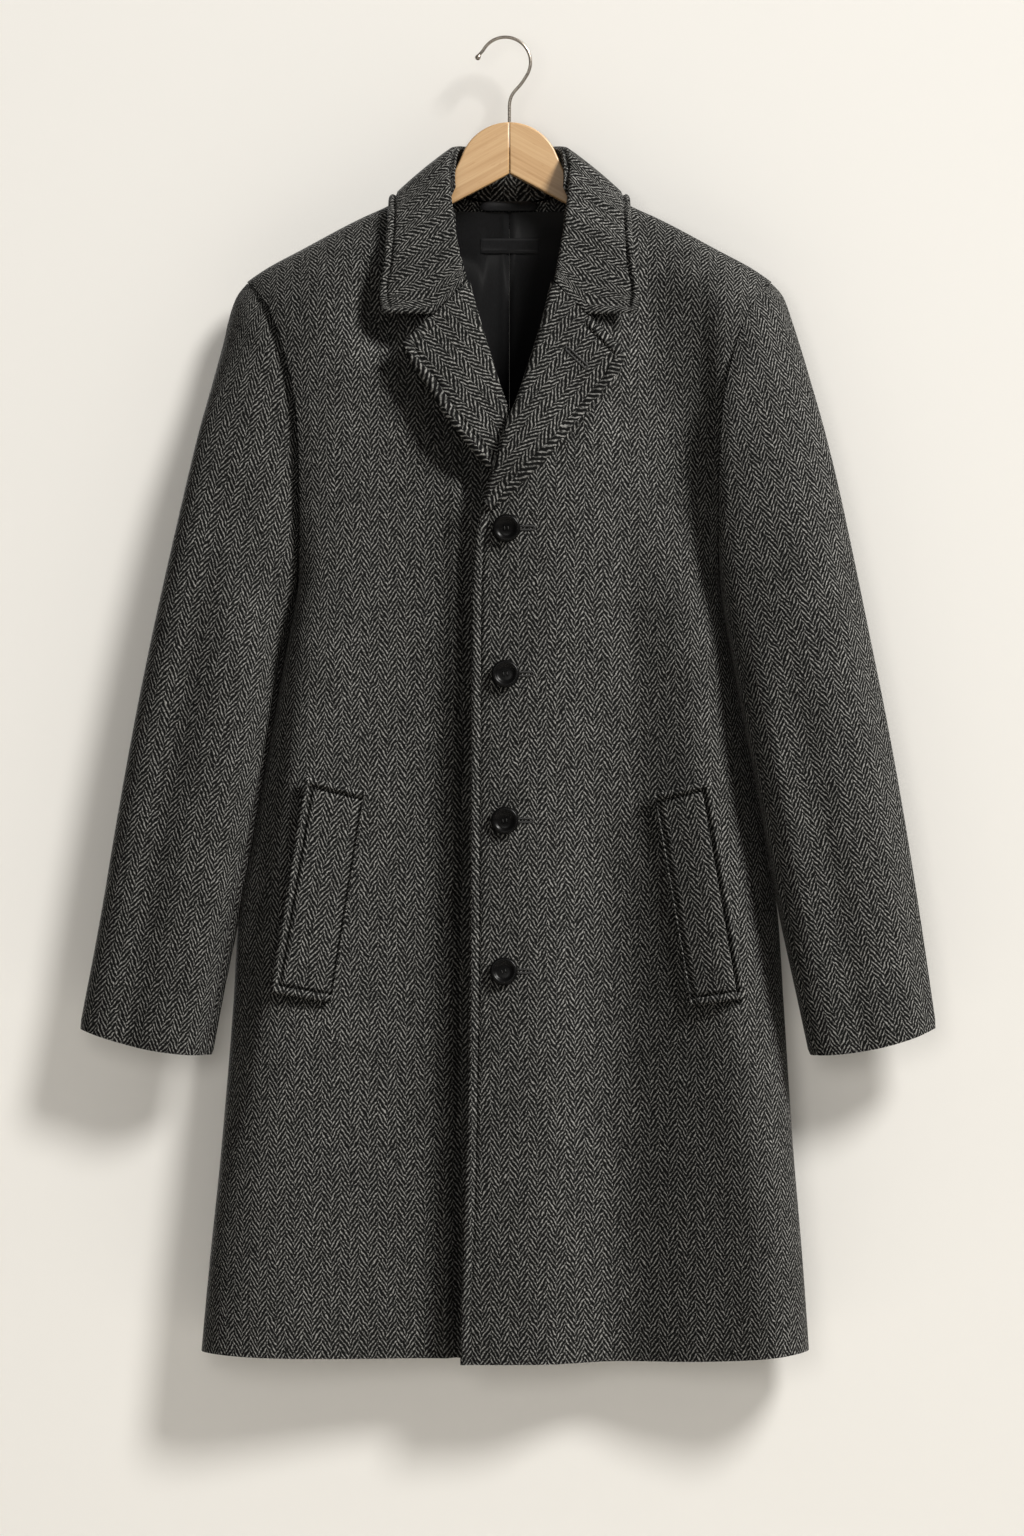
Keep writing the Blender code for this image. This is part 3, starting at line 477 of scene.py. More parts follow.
def herringbone(name):
    """Brushed grey wool: light yarns slanting to and fro in stripes over a dark ground, with nap and a sheen.

    Stripes run along the cut's V axis. The real twill line is about 2.5 mm wide and the stripe 7 mm; both are
    drawn a fifth coarser, so that they show. The yarns sway over 10 mm and tremble over 4 mm, their light and
    dark wools mix over 2.4 mm, the nap's tufts are 1 mm, and the whole tone drifts over 33 mm.
    """
    stripe = 8.4 * MM
    pitch = 5.5 * MM
    slope = 1.5
    made, tree, shader, _ = new_material(name, {"Roughness": 0.92, "Specular IOR Level": 0.1,
                                                "Sheen Weight": 0.06, "Sheen Roughness": 0.4,
                                                "Sheen Tint": srgb("b4b0aa")})
    cut = node(tree, "UVMap", uv_map="cut")
    split = node(tree, "SeparateXYZ", {"Vector": cut})
    waver = node(tree, "TexNoise", {"Vector": cut, "Scale": 95.0, "Detail": 2.0})
    sway = node(tree, "MapRange", {"Value": waver, "To Min": -2.2 * MM, "To Max": 2.2 * MM})
    across = node(tree, "Math", {0: split, 1: sway}, operation="ADD")
    zigzag = node(tree, "Math", {0: across, 1: stripe}, operation="PINGPONG")
    column = node(tree, "Math", {0: across, 1: stripe}, operation="DIVIDE")
    whole = node(tree, "Math", {0: column}, operation="FLOOR")
    step = node(tree, "Math", {0: whole, 1: pitch / 2, 2: split.outputs["Y"]}, operation="MULTIPLY_ADD")
    slant = node(tree, "Math", {0: zigzag, 1: slope, 2: step}, operation="MULTIPLY_ADD")
    tremble = node(tree, "TexNoise", {"Vector": cut, "Scale": 230.0, "Detail": 1.0})
    shifted = node(tree, "Math", {0: tremble, 1: 3.6 * MM, 2: slant}, operation="MULTIPLY_ADD")
    phase = node(tree, "Math", {0: shifted, 1: 2 * math.pi / pitch}, operation="MULTIPLY")
    wave = node(tree, "Math", {0: phase}, operation="SINE")
    yarn = node(tree, "MapRange", {"Value": wave, "From Min": -0.25, "From Max": 0.9})
    melange = node(tree, "TexNoise", {"Vector": cut, "Scale": 420.0, "Detail": 3.0, "Roughness": 0.7})
    patchy = node(tree, "MapRange", {"Value": melange, "From Min": 0.34, "From Max": 0.64, "To Min": 0.18,
                                     "To Max": 1.2})
    lit = node(tree, "Math", {0: yarn, 1: patchy}, operation="MULTIPLY")
    fibres = node(tree, "TexNoise", {"Vector": cut, "Scale": 1100.0, "Detail": 2.0, "Roughness": 0.7})
    fuzz = node(tree, "MapRange", {"Value": fibres, "From Min": 0.3, "From Max": 0.7, "To Min": -0.04,
                                   "To Max": 0.12})
    mixed = node(tree, "Math", {0: lit, 1: fuzz}, operation="ADD", use_clamp=True)
    colour = node(tree, "ValToRGB", {"Fac": mixed},
                  stops=((0.0, "070707"), (0.25, "171716"), (0.6, "454543"), (1.0, "807f7c")))
    cloud = node(tree, "TexNoise", {"Vector": cut, "Scale": 30.0, "Detail": 2.0})
    tone = node(tree, "MapRange", {"Value": cloud, "From Min": 0.3, "From Max": 0.7, "To Min": 0.88,
                                   "To Max": 1.12})
    node(tree, "HueSaturation", {"Color": colour, "Value": tone}, shader.inputs["Base Color"])
    height = node(tree, "Math", {0: fibres, 1: 0.5, 2: yarn}, operation="MULTIPLY_ADD")
    node(tree, "Bump", {"Height": height, "Strength": 0.5, "Distance": 0.5 * MM}, shader.inputs["Normal"])
    return made


def make_backs():
    for side, wearer in SIDES:
        folds = [fold for fold in BACK_FOLDS if fold[0] == side]

        def face(x, down):
            depth = body_depth(x, down, side, True)
            lift = fold_height(folds, x, down) * min(depth / FOLD_DEPTH, 1)
            return side * x, max(depth + lift - SEAM_DIP * hump(x, 3.0), SEAM_GAP / 2), -down

        grid, cut = panel_rows(side, True, lambda down: SEAM_GAP / 2, face)
        piece = add_cloth(f"back_{wearer}", grid, cut, CLOTH, wool, side > 0)


wool = herringbone("herringbone_wool")
make_backs()

# ---- Fronts ------------------------------------------------------------------------------------------------
# Two fronts in the same wool. The wearer's left one laps over the other and carries the buttonholes. Its free
# edge is turned, pressed and stitched 8 mm in, which leaves a soft raised ridge down the coat.
LAYER = 3.1             # from one cloth layer's face to the next one's
EDGE_RIDGE = 7.6
EDGE_SWELL = 2.0
EDGE_GROOVE = 1.9
EDGE_FROM = 400.0       # down from which the edge below the lapel is stitched
LAP_FADE = (75, 30)     # distances from the centre line between which the lap rises over the lower front
# Downs between which it also rises over the lower front's lapel
LAPEL_UNDER = ((300, 350), (500, 425))
LAPEL_SPARE = 0.6       # room over the lower lapel
# Down, the wearer's left front's edge and the right one's
FRONT_EDGE = ((129, 71, -71), (140, 58, -58), (152, 51.5, -51), (180, 48, -47.2), (222, 39.5, -37),
              (261, 30, -26), (299, 17.9, -14.5), (329, 7.7, -5), (353, -2.7, 4), (386, -11.4, 14),
              (403, -17.5, 18), (424, -23.7, 20), (445, -29, 20), (479, -32, 20), (560, -33.6, 20),
              (840, -35.4, 20), (1025, -39, 20), (1110, -42, 20), (1200, -44, 20))
# Soft folds of the fronts: side, x and down where it starts, x and down where it ends, half width towards the
# centre and away from it, height
FRONT_FOLDS = ((1, 90, 60, 122, 700, 28, 56, -18.0), (1, 118, 100, 150, 470, 30, 44, -21.0),
               (1, 170, 200, 176, 520, 26, 13, -13.0), (1, 88, 420, 98, 1205, 42, 60, -34.0),
               (1, 205, 560, 240, 1205, 38, 28, 18.0), (1, 182, 400, 250, 990, 26, 40, -32.0),
               (1, 90, 205, 88, 300, 24, 20, 13.0), (1, 98, 262, 24, 412, 10, 18, -8.0),
               (-1, 60, 200, 68, 1205, 20, 76, -20.0), (-1, 35, 250, 47, 1205, 10, 7, -20.0),
               (-1, 104, 262, 14, 415, 14, 24, -17.0), (-1, 118, 200, 112, 292, 16, 20, -20.0),
               (-1, 164, 60, 246, 1205, 60, 80, 18.0), (-1, 190, 500, 254, 990, 12, 34, -14.0))
front_folds = {side: [fold for fold in FRONT_FOLDS if fold[0] == side] for side in (1, -1)}
front_edges = by_side(FRONT_EDGE)


def lap_lift(x, down):
    """The wearer's left front lies over the other one, and over its lapel near the break of the roll."""
    over_lapel = ease(*LAPEL_UNDER[0], down) * ease(*LAPEL_UNDER[1], down)
    return ease(*LAP_FADE, x) * (LAYER + (LAYER + LAPEL_SPARE) * over_lapel)


def front_face(x, down, side, out=0.0, folded=True):
    """Y of a front's outer face at a signed distance from the centre line, moved out by a distance."""
    depth = body_depth(x, down, side, False)
    lift = fold_height(front_folds[side], side * x, down) * min(depth / FOLD_DEPTH, 1) if folded else 0.0
    if side > 0:
        lift += lap_lift(x, down)
    return -max(depth + lift + out, SEAM_GAP / 2)


def stitched_edge(inside, swell, groove, ridge=6.4, stitches=7.5):
    """Rise of a turned edge at a distance inside it: a round ridge, and beyond it the stitched groove."""
    rise = math.sqrt(max(1 - (2 * inside / ridge - 1) ** 2, 0.0)) if inside < ridge else 0.0
    return swell * rise - groove * hump(inside - stitches, 1.4)


def make_fronts():
    for side, wearer in SIDES:
        edge = front_edges[side]

        def face(x, down):
            swell = 0.0
            if side > 0 and down > EDGE_FROM:
                swell = stitched_edge(x - edge(down), EDGE_SWELL, EDGE_GROOVE, EDGE_RIDGE, EDGE_RIDGE + 0.5)
            return side * x, front_face(side * x, down, side, swell), -down

        grid, cut = panel_rows(side, False, lambda down: side * edge(down), face, 84)
        piece = add_cloth(f"front_{wearer}", grid, cut, CLOTH, wool, side < 0)


make_fronts()

# ---- Sleeves -----------------------------------------------------------------------------------------------
# Two-piece sleeves in the same wool: a wide top sleeve and a narrow under sleeve, seamed down the front and
# the back of the arm. They are set into the armholes with a little fullness eased in, and hang empty.
ARMHOLE_GAP = 0.45
CUFF_OUTER = 889.0
CUFF_INNER = 913.0
CUFF_SAG = 6.0
FRONT_SEAM = 156.6
BACK_SEAM = -111.6
SEAM_TURN = 0.25        # this and both seams are in degrees round the sleeve
CROWD = 1.35            # how much closer the rows lie at the sleeve's head
HEAD_SHARE = 0.22       # share of its length over which the head takes the armhole's shape
HEAD_CUT = 0.24         # share of its length over which the cut follows the head
HEAD_EASE = 1.6         # swell of the eased-in fullness
SEAM_SINK = 1.3
CUFF_SINK = 0.9
# Sleeve lines seen from the front: down, the wearer's left, the wearer's right
SLEEVE_OUTER = ((220, 239, 237), (230, 247, 244), (246, 254, 251), (277, 263.5, 258.5), (310, 272, 266.7),
                (353, 283, 278), (406, 295.7, 290.5), (452, 305.5, 301), (541, 323.7, 320.7),
                (612, 338, 335), (698, 353.4, 350.5), (794, 368.7, 366.6), (889, 382.5, 384.6))
SLEEVE_INNER = ((488, 190, 189.5), (514, 193, 192), (541, 197.3, 197.4), (604, 208.4, 207.3),
                (673, 222, 219.5), (728, 232, 229.5), (786, 242.4, 241), (849, 255, 253.8),
                (914, 268.8, 265.8))
# Fraction of its length, half depth, swing forward
SLEEVE_SECTION = ((0, 30, 0), (0.07, 33, 7), (0.15, 35.5, 14), (0.3, 38, 22), (0.6, 37, 26),
                  (0.8, 35.5, 28), (1, 34, 29))
# Soft creases of the sleeves: side, turn and fraction where it starts, the same where it ends, half width in
# degrees, height
SLEEVE_FOLDS = ((1, 106, 0.15, 100, 1.1, 16, -4.5), (1, 55, 0.1, 52, 1.1, 16, 3.0),
                (1, 130, 0.2, 134, 0.9, 10, 1.5), (1, -60, 0.2, -80, 1.1, 16, -2.5),
                (1, 200, 0.3, 190, 0.9, 14, 2.0), (-1, 66, 0.08, 72, 1.1, 18, -6.5),
                (-1, 122, 0.12, 128, 1.1, 16, 3.5), (-1, -70, 0.25, -84, 1.1, 16, -2.0),
                (-1, 204, 0.3, 196, 1.0, 14, 1.5))
# Down the wearer's left sleeve as it hangs, and square to it
SLEEVE_ALONG = Vector((0.199, 0, -0.98))
SLEEVE_ACROSS = Vector((0.98, 0, 0.199))
section_depth, section_swing = through(SLEEVE_SECTION, 1), through(SLEEVE_SECTION, 2)
sleeve_outer, sleeve_inner = by_side(SLEEVE_OUTER), by_side(SLEEVE_INNER)


def sleeve_oval(share, turn, side):
    """Point of the sleeve's plain oval form and the way out of it."""
    outer_down = SHOULDER_END + (CUFF_OUTER - SHOULDER_END) * share
    inner_down = ARMPIT + (CUFF_INNER - ARMPIT) * share
    outer = Vector((sleeve_outer[side](outer_down), 0, -outer_down))
    inner = Vector((sleeve_inner[side](inner_down), 0, -inner_down))
    half, angle = (outer - inner) / 2, math.radians(turn)
    point = (outer + inner) / 2 + half * math.cos(angle)
    depth = section_depth(share)
    reach = math.sin(angle)
    pointed = 0.55 if side * math.cos(angle) > 0 else -0.45
    crest = math.copysign(abs(reach) ** (1 + pointed * ease(0, 0.25, share)), reach)
    point.y = -section_swing(share) - depth * crest
    point.z -= CUFF_SAG * ease(0.8, 1, share) * math.sin(angle) ** 2
    out = half * math.cos(angle) / half.length_squared + Vector((0, -math.sin(angle) / depth, 0))
    point.x *= side
    out.x *= side
    return point, out.normalized()


def distances(points):
    """Distance along a line of points to each of them."""
    found = [0.0]
    for before, after in zip(points, points[1:]):
        found.append(found[-1] + (after - before).length)
    return found


def sleeve_lift(folds, turn, share, start, end):
    """Rise of the sleeve's cloth over its plain form: creases, the head's fullness, sunk seams and cuff."""
    lift = 0.0
    for _, start_turn, start_share, end_turn, end_share, width, height in folds:
        along = (share - start_share) / (end_share - start_share)
        if 0 < along < 1:
            fade = 1 if end_share > 1 else ease(1, 0.6, along)
            away = turn - start_turn - (end_turn - start_turn) * along
            lift += height * ease(0, 0.4, along) * fade * hump(away, width)
    lift += HEAD_EASE * math.sin(math.pi * min(share / 0.05, 1)) * ease(150, 60, abs(turn))
    lift -= SEAM_SINK * (hump(turn - start, 3.0) + hump(turn - end, 3.0))
    return lift - CUFF_SINK * hump(share - 1, 0.003)


def sleeve_rows(side, start, end, columns, rows=120):
    """Grid of a sleeve piece between two seams, from armhole to cuff, and its cut measured over the cloth.

    Below the head the cut is measured round the arm from one column. In the head it follows each column
    upwards, as the real cloth does, where the fullness is eased in.
    """
    folds = [fold for fold in SLEEVE_FOLDS if fold[0] == side]
    turns = [start + SEAM_TURN + (end - start - 2 * SEAM_TURN) * share for share in spread(columns, 0.5)]
    settings = [armhole(turn if turn < 360 else turn - 360, side) - sleeve_oval(0, turn, side)[0]
                for turn in turns]
    front = 90 if start < 90 < end else (start + end) / 2
    middle = min(range(len(turns)), key=lambda j: abs(turns[j] - front))
    along_arm = Vector((side * SLEEVE_ALONG.x, 0, SLEEVE_ALONG.z))
    shares = [(k / rows) ** CROWD for k in range(rows + 1)]
    grid, cut = [], []
    for share in shares:
        points = []
        for turn, setting in zip(turns, settings):
            point, out = sleeve_oval(share, turn, side)
            point += setting * ease(HEAD_SHARE, 0, share)
            points.append(point + out * sleeve_lift(folds, turn, share, start, end))
        around = distances([point - along_arm * point.dot(along_arm) for point in points])
        flat = Vector((abs(points[middle].x), 0, points[middle].z)).dot(SLEEVE_ACROSS)
        cut.append([(side * (flat + around[middle] - gone) * MM, -point.dot(along_arm) * MM)
                    for gone, point in zip(around, points)])
        grid.append(points)
    for k in range(rows - 1, -1, -1):
        for j, (point, below) in enumerate(zip(grid[k], grid[k + 1])):
            step = below - point
            beside = grid[k][min(j + 1, columns)] - grid[k][max(j - 1, 0)]
            facing = beside.cross(step).normalized()
            arm = (along_arm - facing * along_arm.dot(facing)).normalized()
            across, up = cut[k + 1][j]
            if shares[k] < HEAD_CUT:
                across += side * step.dot(arm.cross(facing)) * MM
            else:
                across = cut[k][j][0]
            cut[k][j] = (across, up + step.dot(arm) * MM)
    grid[0] = [a + (b - a).normalized() * ARMHOLE_GAP for a, b in zip(grid[0], grid[1])]
    return grid, cut


def make_sleeves():
    for side, wearer in SIDES:
        for word, start, end, columns, width in (("top", BACK_SEAM, FRONT_SEAM, 84, 0.30),
                                                 ("under", FRONT_SEAM, BACK_SEAM + 360, 36, 0.05)):
            grid, cut = sleeve_rows(side, start, end, columns)
            piece = add_cloth(f"sleeve_{word}_{wearer}", grid, cut, CLOTH, wool, side > 0)


make_sleeves()

# ---- Collar ------------------------------------------------------------------------------------------------
# A two-piece collar in doubled wool, 7 mm thick over its rolled fold: the fall lies over the shoulders down
# to the notches, and the stand rises inside it round the neck. The fall's edges are stitched as the front's.
COLLAR_CLOTH = 2.6
COLLAR_ROLL = 3.6
COLLAR_SWELL = 2.0
COLLAR_GROOVE = 2.2
COLLAR_FREE = 0.34      # share of the front end, from the fold, that is sewn to the lapel
COLLAR_OUT = 9.0
COLLAR_EDGE_OUT = 9.8
COLLAR_ROUND_OUT = 1.8
COLLAR_BULGE_BACK = 0.05        # how much rounder the turned-down cloth is than a straight line
COLLAR_BULGE_UP = 2.2
ROLL_STEPS = 9
NOTCH = (68.3, 252)
# Fold x, y, down; edge x, y, down; 1 where it lies on the front
COLLAR = ((40, 0, 221, 113.5, 0, 251, 1), (43.5, 0, 200, 116, 0, 232, 1), (47.5, 0, 178, 112.5, 0, 208, 1),
          (51, 0, 155, 110.5, 0, 187, 1), (53, -32, 136, 109.5, -32, 170, 0.8),
          (54, -24, 119, 109, -22, 157, 0.35), (53.5, -12, 105.5, 108.5, -12, 148, 0),
          (51, 1, 97, 108, 0, 144.5, 0), (46, 14, 94, 107, 14, 147, 0), (39, 27, 93, 102, 29, 152, 0),
          (30, 36, 92.7, 90, 40.5, 158, 0), (20, 42.5, 92.5, 70, 47.5, 163, 0),
          (10, 46, 92.5, 36, 51.5, 166, 0), (0, 47, 92.5, 0, 52.5, 167, 0))
# Top x, y, down; neck seam x, y, down
STAND = ((49.5, -27, 135, 53, -28, 144), (49.6, -19, 119.5, 59.6, -21.5, 135),
         (48.6, -10, 107.5, 67.5, -11, 127), (46.6, 0, 99, 71.5, 0, 125.2), (42, 12, 96.4, 69.5, 12.5, 127),
         (35.5, 24, 95.2, 60, 20.5, 131.5), (27, 32.3, 94.8, 45, 29, 137), (18, 38.2, 94.7, 28, 35, 141.5),
         (9, 41.6, 94.6, 14, 37, 144.3), (0, 42.6, 94.6, 0, 37.8, 145))


def rolled(rows, radius, outwards, stitched_from):
    """Sheet that lies as the rows say, from a fold to an edge, with its fold rolled back under itself.

    Each row runs from the fold to the edge. The first row's end is a free edge past the share stitched_from.
    The cut's places are the lengths along both ways, and the unrolled points show the cloth laid flat.
    """
    grid, cut, unrolled = [], [], []
    lengths = distances([row[len(row) // 2] for row in rows])
    for i, row in enumerate(rows):
        along = (rows[min(i + 1, len(rows) - 1)][0] - rows[max(i - 1, 0)][0]).normalized()
        away = (row[3] - row[0]).normalized()
        out = along.cross(away).normalized() * outwards
        points, places, flat = [], [], []
        for k in range(ROLL_STEPS, 0, -1):
            angle = math.pi * k / ROLL_STEPS
            point = row[0] + away * radius * (1 - math.sin(angle))
            points.append(point + out * radius * (math.cos(angle) - 1))
            places.append(radius * (1 - angle))
            flat.append(row[0] + away * places[-1])
        steps = distances(row)
        width = steps[-1]
        for step in steps:
            reach = radius + (width - radius) * step / width
            at = min(bisect_right(steps, reach) - 1, len(row) - 2)
            point = row[at].lerp(row[at + 1], (reach - steps[at]) / (steps[at + 1] - steps[at]))
            sewn = ease(stitched_from + 0.04, stitched_from, reach / width)
            inside = min(width - reach, lengths[i] + 14 * sewn)
            points.append(point + out * stitched_edge(inside, COLLAR_SWELL, COLLAR_GROOVE))
            places.append(reach)
            flat.append(point)
        grid.append(points)
        cut.append([(lengths[i] * MM, -across * MM) for across in places])
        unrolled.append(flat)
    return grid, cut, unrolled


def loft(table, count, shares, make_point):
    """Dense rows through a table's rows: each column of the table is smoothed along its length."""
    indexed = [(k, *row) for k, row in enumerate(table)]
    columns = [through(indexed, k) for k in range(1, len(table[0]) + 1)]
    rows = []
    for share in spread(count, 0.0):
        row = [column(share * (len(table) - 1)) for column in columns]
        rows.append([Vector(make_point(row, across)) for across in shares])
    return rows


def collar_point(row, share):
    fold_x, fold_y, fold_down, edge_x, edge_y, edge_down, lying = row
    x = fold_x + (edge_x - fold_x) * share
    down = fold_down + (edge_down - fold_down) * share
    notched = ease(200, 221, fold_down) ** 2
    if notched:
        corner = (NOTCH[0] - fold_x) / (edge_x - fold_x)
        beyond = NOTCH[1] - fold_down - (edge_down - fold_down) * corner
        down += beyond * notched * min(share / corner, (1 - share) / (1 - corner))
    bulge = 4 * share * (1 - share) * (1 - lying)
    y = (fold_y + (edge_y - fold_y) * share) * (1 + COLLAR_BULGE_BACK * bulge)
    if lying > 0:
        out = COLLAR_OUT + (COLLAR_EDGE_OUT - COLLAR_OUT) * share ** 0.8 + 1.2 * math.sin(math.pi * share)
        out += COLLAR_ROUND_OUT * ease(215, 185, down) * share
        y = lying * front_face(x, down, 1, out, False) + (1 - lying) * y
    return x, y, -down + COLLAR_BULGE_UP * bulge


def mirror_round(half, cut):
    """Rows of one half with their cut places, continued by their mirror image round the centre back."""
    total = cut[-1][0][0]
    whole = half + [[Vector((-p.x, p.y, p.z)) for p in row] for row in reversed(half[:-1])]
    return whole, cut + [[(2 * total - u, v) for u, v in row] for row in reversed(cut[:-1])]


def make_collar():
    rows = loft(COLLAR, 130, spread(40, 0.8), collar_point)
    half, cut, _ = rolled(rows, COLLAR_ROLL, -1, COLLAR_FREE)
    piece = add_cloth("collar_fall", *mirror_round(half, cut), COLLAR_CLOTH, wool, True)


def make_stand():
    def stand_point(row, share):
        top_x, top_y, top_down, seam_x, seam_y, seam_down = row
        return (top_x + (seam_x - top_x) * share, top_y + (seam_y - top_y) * share,
                -top_down - (seam_down - top_down) * share)

    rows = loft(STAND, 60, spread(12, 0.5), stand_point)
    lengths = distances([row[0] for row in rows])
    cut = [[(length * MM, (a - row[0]).length * -MM) for a in row] for row, length in zip(rows, lengths)]
    piece = add_cloth("collar_stand", *mirror_round(rows, cut), CLOTH, wool, True)


make_collar()
make_stand()

# ---- Lapels ------------------------------------------------------------------------------------------------
# The fronts' turned-back facings: doubled wool that rolls softly from the gorge seam to the break above the
# top button. The wearer's left one has a worked flower hole, and both have the same stitched edge.
LAPEL_OUT = 8.4
LAPEL_EDGE_OUT = {1: 8.5, -1: 15.5}
LAPEL_ROLL = {1: 3.4, -1: 2.72}
LAPEL_SETTLE = 60       # length above the break over which a lapel lies down on its front
BREAK_OUT = 4.4         # how far its fold stands out at the break
BREAK_EDGE_OUT = 3.4    # and its edge
UNDER_LAP = (322, 345)  # downs between which the lower lapel sinks under the lap
UNDER_LAP_SINK = 3.0
LAPEL_GRAIN = math.radians(40)                  # the turned-back cloth's stripes, off the upright
# Fold x, down; edge x, down, from the gorge to the break
LAPEL_LEFT = ((39.5, 223, 102, 287), (30, 261, 90, 312), (18, 299, 69.5, 338), (7.7, 329, 52, 359),
              (-2.7, 353, 30, 381), (-11, 384, 8, 403), (-17.5, 403, -7, 417), (-22, 418, -18, 425))
LAPEL_RIGHT = ((37, 223, 94, 280), (30, 249, 85, 297), (20, 282, 71, 316), (10, 314, 57, 339),
               (1, 340, 40, 362), (-7, 364, 22, 383), (-12, 380, 10, 394))


def make_lapels():
    for side, wearer, table in ((1, "left", LAPEL_LEFT), (-1, "right", LAPEL_RIGHT)):
        def lapel_point(row, share):
            fold_x, fold_down, edge_x, edge_down = row
            x = fold_x + (edge_x - fold_x) * share
            down = fold_down + (edge_down - fold_down) * share
            settle = ease(table[-1][1] - LAPEL_SETTLE, table[-1][1], fold_down)
            fold_out = LAPEL_OUT + (BREAK_OUT - LAPEL_OUT) * settle
            if side < 0:
                fold_out -= UNDER_LAP_SINK * ease(*UNDER_LAP, down)
            edge_out = LAPEL_EDGE_OUT[side] + (BREAK_EDGE_OUT - LAPEL_EDGE_OUT[side]) * settle
            out = fold_out + (edge_out - fold_out) * share ** 0.8 + 0.8 * math.sin(math.pi * share)
            return side * x, front_face(side * x, down, side, out, False), -down

        rows = loft(table, 110, spread(36, 0.8), lapel_point)
        notch = (NOTCH[0] - table[0][0]) / (table[0][2] - table[0][0])
        grid, _, unrolled = rolled(rows, LAPEL_ROLL[side], side, notch)
        lean, rise = math.sin(LAPEL_GRAIN) * MM, math.cos(LAPEL_GRAIN) * MM
        cut = [[(side * at.x * rise - at.z * lean, side * at.x * lean + at.z * rise) for at in row]
               for row in unrolled]
        piece = add_cloth(f"lapel_{wearer}", grid, cut, COLLAR_CLOTH, wool, side > 0)


make_lapels()

# ---- Pocket welts ------------------------------------------------------------------------------------------
# Slanted welts of doubled wool that stand over the pocket openings. They are stitched down at the top and
# bottom ends, and a ridge runs round three sides, outside a row of stitches 7.5 mm in.
#
# X, down of the upper inner and outer, lower inner and outer corner
WELT_LEFT = ((130, 679.5), (179.7, 666.5), (162.6, 869), (212, 861.5))
WELT_RIGHT = ((-129, 677), (-181.8, 663.5), (-158.7, 865.5), (-213.2, 856))
WELT_OUT = 7.2
WELT_SWELL = 3.2
WELT_GROOVE = 3.4
WELT_CREASE = 2.4       # how far in from its sewn side the pressed crease lies


def laid_out(rows, columns, make_point):
    """Grid of points and their places on the cut, from a function of a row's value and a column's."""
    both = [[make_point(row, column) for column in columns] for row in rows]
    return [[point for point, _ in row] for row in both], [[place for _, place in row] for row in both]


def make_welts():
    for side, wearer, corners in ((1, "left", WELT_LEFT), (-1, "right", WELT_RIGHT)):
        inner_top, outer_top, inner_low, outer_low = [Vector(corner) for corner in corners]
        length, width = (inner_low - inner_top).length, (outer_top - inner_top).length

        def welt_point(along, across):
            x, down = inner_top.lerp(outer_top, across).lerp(inner_low.lerp(outer_low, across), along)
            inside = min(along * length, (1 - along) * length, (1 - across) * width)
            lift = stitched_edge(inside, WELT_SWELL, WELT_GROOVE)
            lift -= WELT_GROOVE * hump(across * width - WELT_CREASE, 1.5)
            y = front_face(x, down, side, WELT_OUT + lift)
            return (x, y, -down), (across * width * MM, -along * length * MM)

        grid, cut = laid_out(spread(110, 0.6), spread(44, 0.75), welt_point)
        piece = add_cloth(f"pocket_welt_{wearer}", grid, cut, CLOTH, wool, side < 0)


make_welts()

# ---- Lining ------------------------------------------------------------------------------------------------
# Black satin lining inside the back, cut in two and joined down the middle, with a pleat beside the seam.
# Only the part that shows through the open neck is made.
LINING = 1.0
LINING_TOP = 153.0
LINING_END = 450.0
LINING_HALF = 128.0
LINING_TOP_HALF = 25.0          # half width under the neck, before it widens
LINING_WIDEN = (40, 300)        # downs between which it widens
LINING_INSET = 4.5
LINING_SEAM = 0.7               # height of its middle seam
LINING_PRESS = 0.8              # and depth of the pressed cloth beside it
PLEAT_DEEP = 1.6                # the ease pleat on the wearer's right


def satin(name, colour, shine):
    """Warp-faced satin: near black, with long soft highlights over a warp drawn as 0.4 mm threads."""
    made, tree, shader, place = new_material(name, {"Roughness": 0.55, "Specular IOR Level": 0.3,
                                                    "Anisotropic": 0.5})
    warp = node(tree, "Mapping", {"Vector": place, "Scale": (2600, 2600, 90)})
    threads = node(tree, "TexNoise", {"Vector": warp, "Scale": 1.0, "Detail": 2.0})
    node(tree, "ValToRGB", {"Fac": threads}, shader.inputs["Base Color"], ((0.3, colour), (0.75, shine)))
    node(tree, "Bump", {"Height": threads, "Strength": 0.15, "Distance": 0.2 * MM}, shader.inputs["Normal"])
    return made


def make_lining():
    for side, wearer in SIDES:
        def lining_point(down, share):
            half = LINING_HALF * ease(*LINING_WIDEN, down) + LINING_TOP_HALF
            x = SEAM_GAP / 2 + (half - SEAM_GAP / 2) * share
            y = body_depth(x, down, side, True) - LINING_INSET
            y += LINING_SEAM * hump(x, 1.6) - LINING_PRESS * hump(x - 5, 3.0)
            if side < 0:
                y -= PLEAT_DEEP * ease(20, 27, x) * ease(60, 24, x) * ease(150, 200, down)
            return (side * x, y, -down), (side * x * MM, -down * MM)

        downs = [LINING_TOP + (LINING_END - LINING_TOP) * i / 60 for i in range(61)]
        grid, cut = laid_out(downs, spread(50, 0.4), lining_point)
        piece = add_cloth(f"lining_back_{wearer}", grid, cut, LINING, lining_satin, side < 0)


lining_satin = satin("lining_satin", "0d0d0e", "1c1c1e")
make_lining()

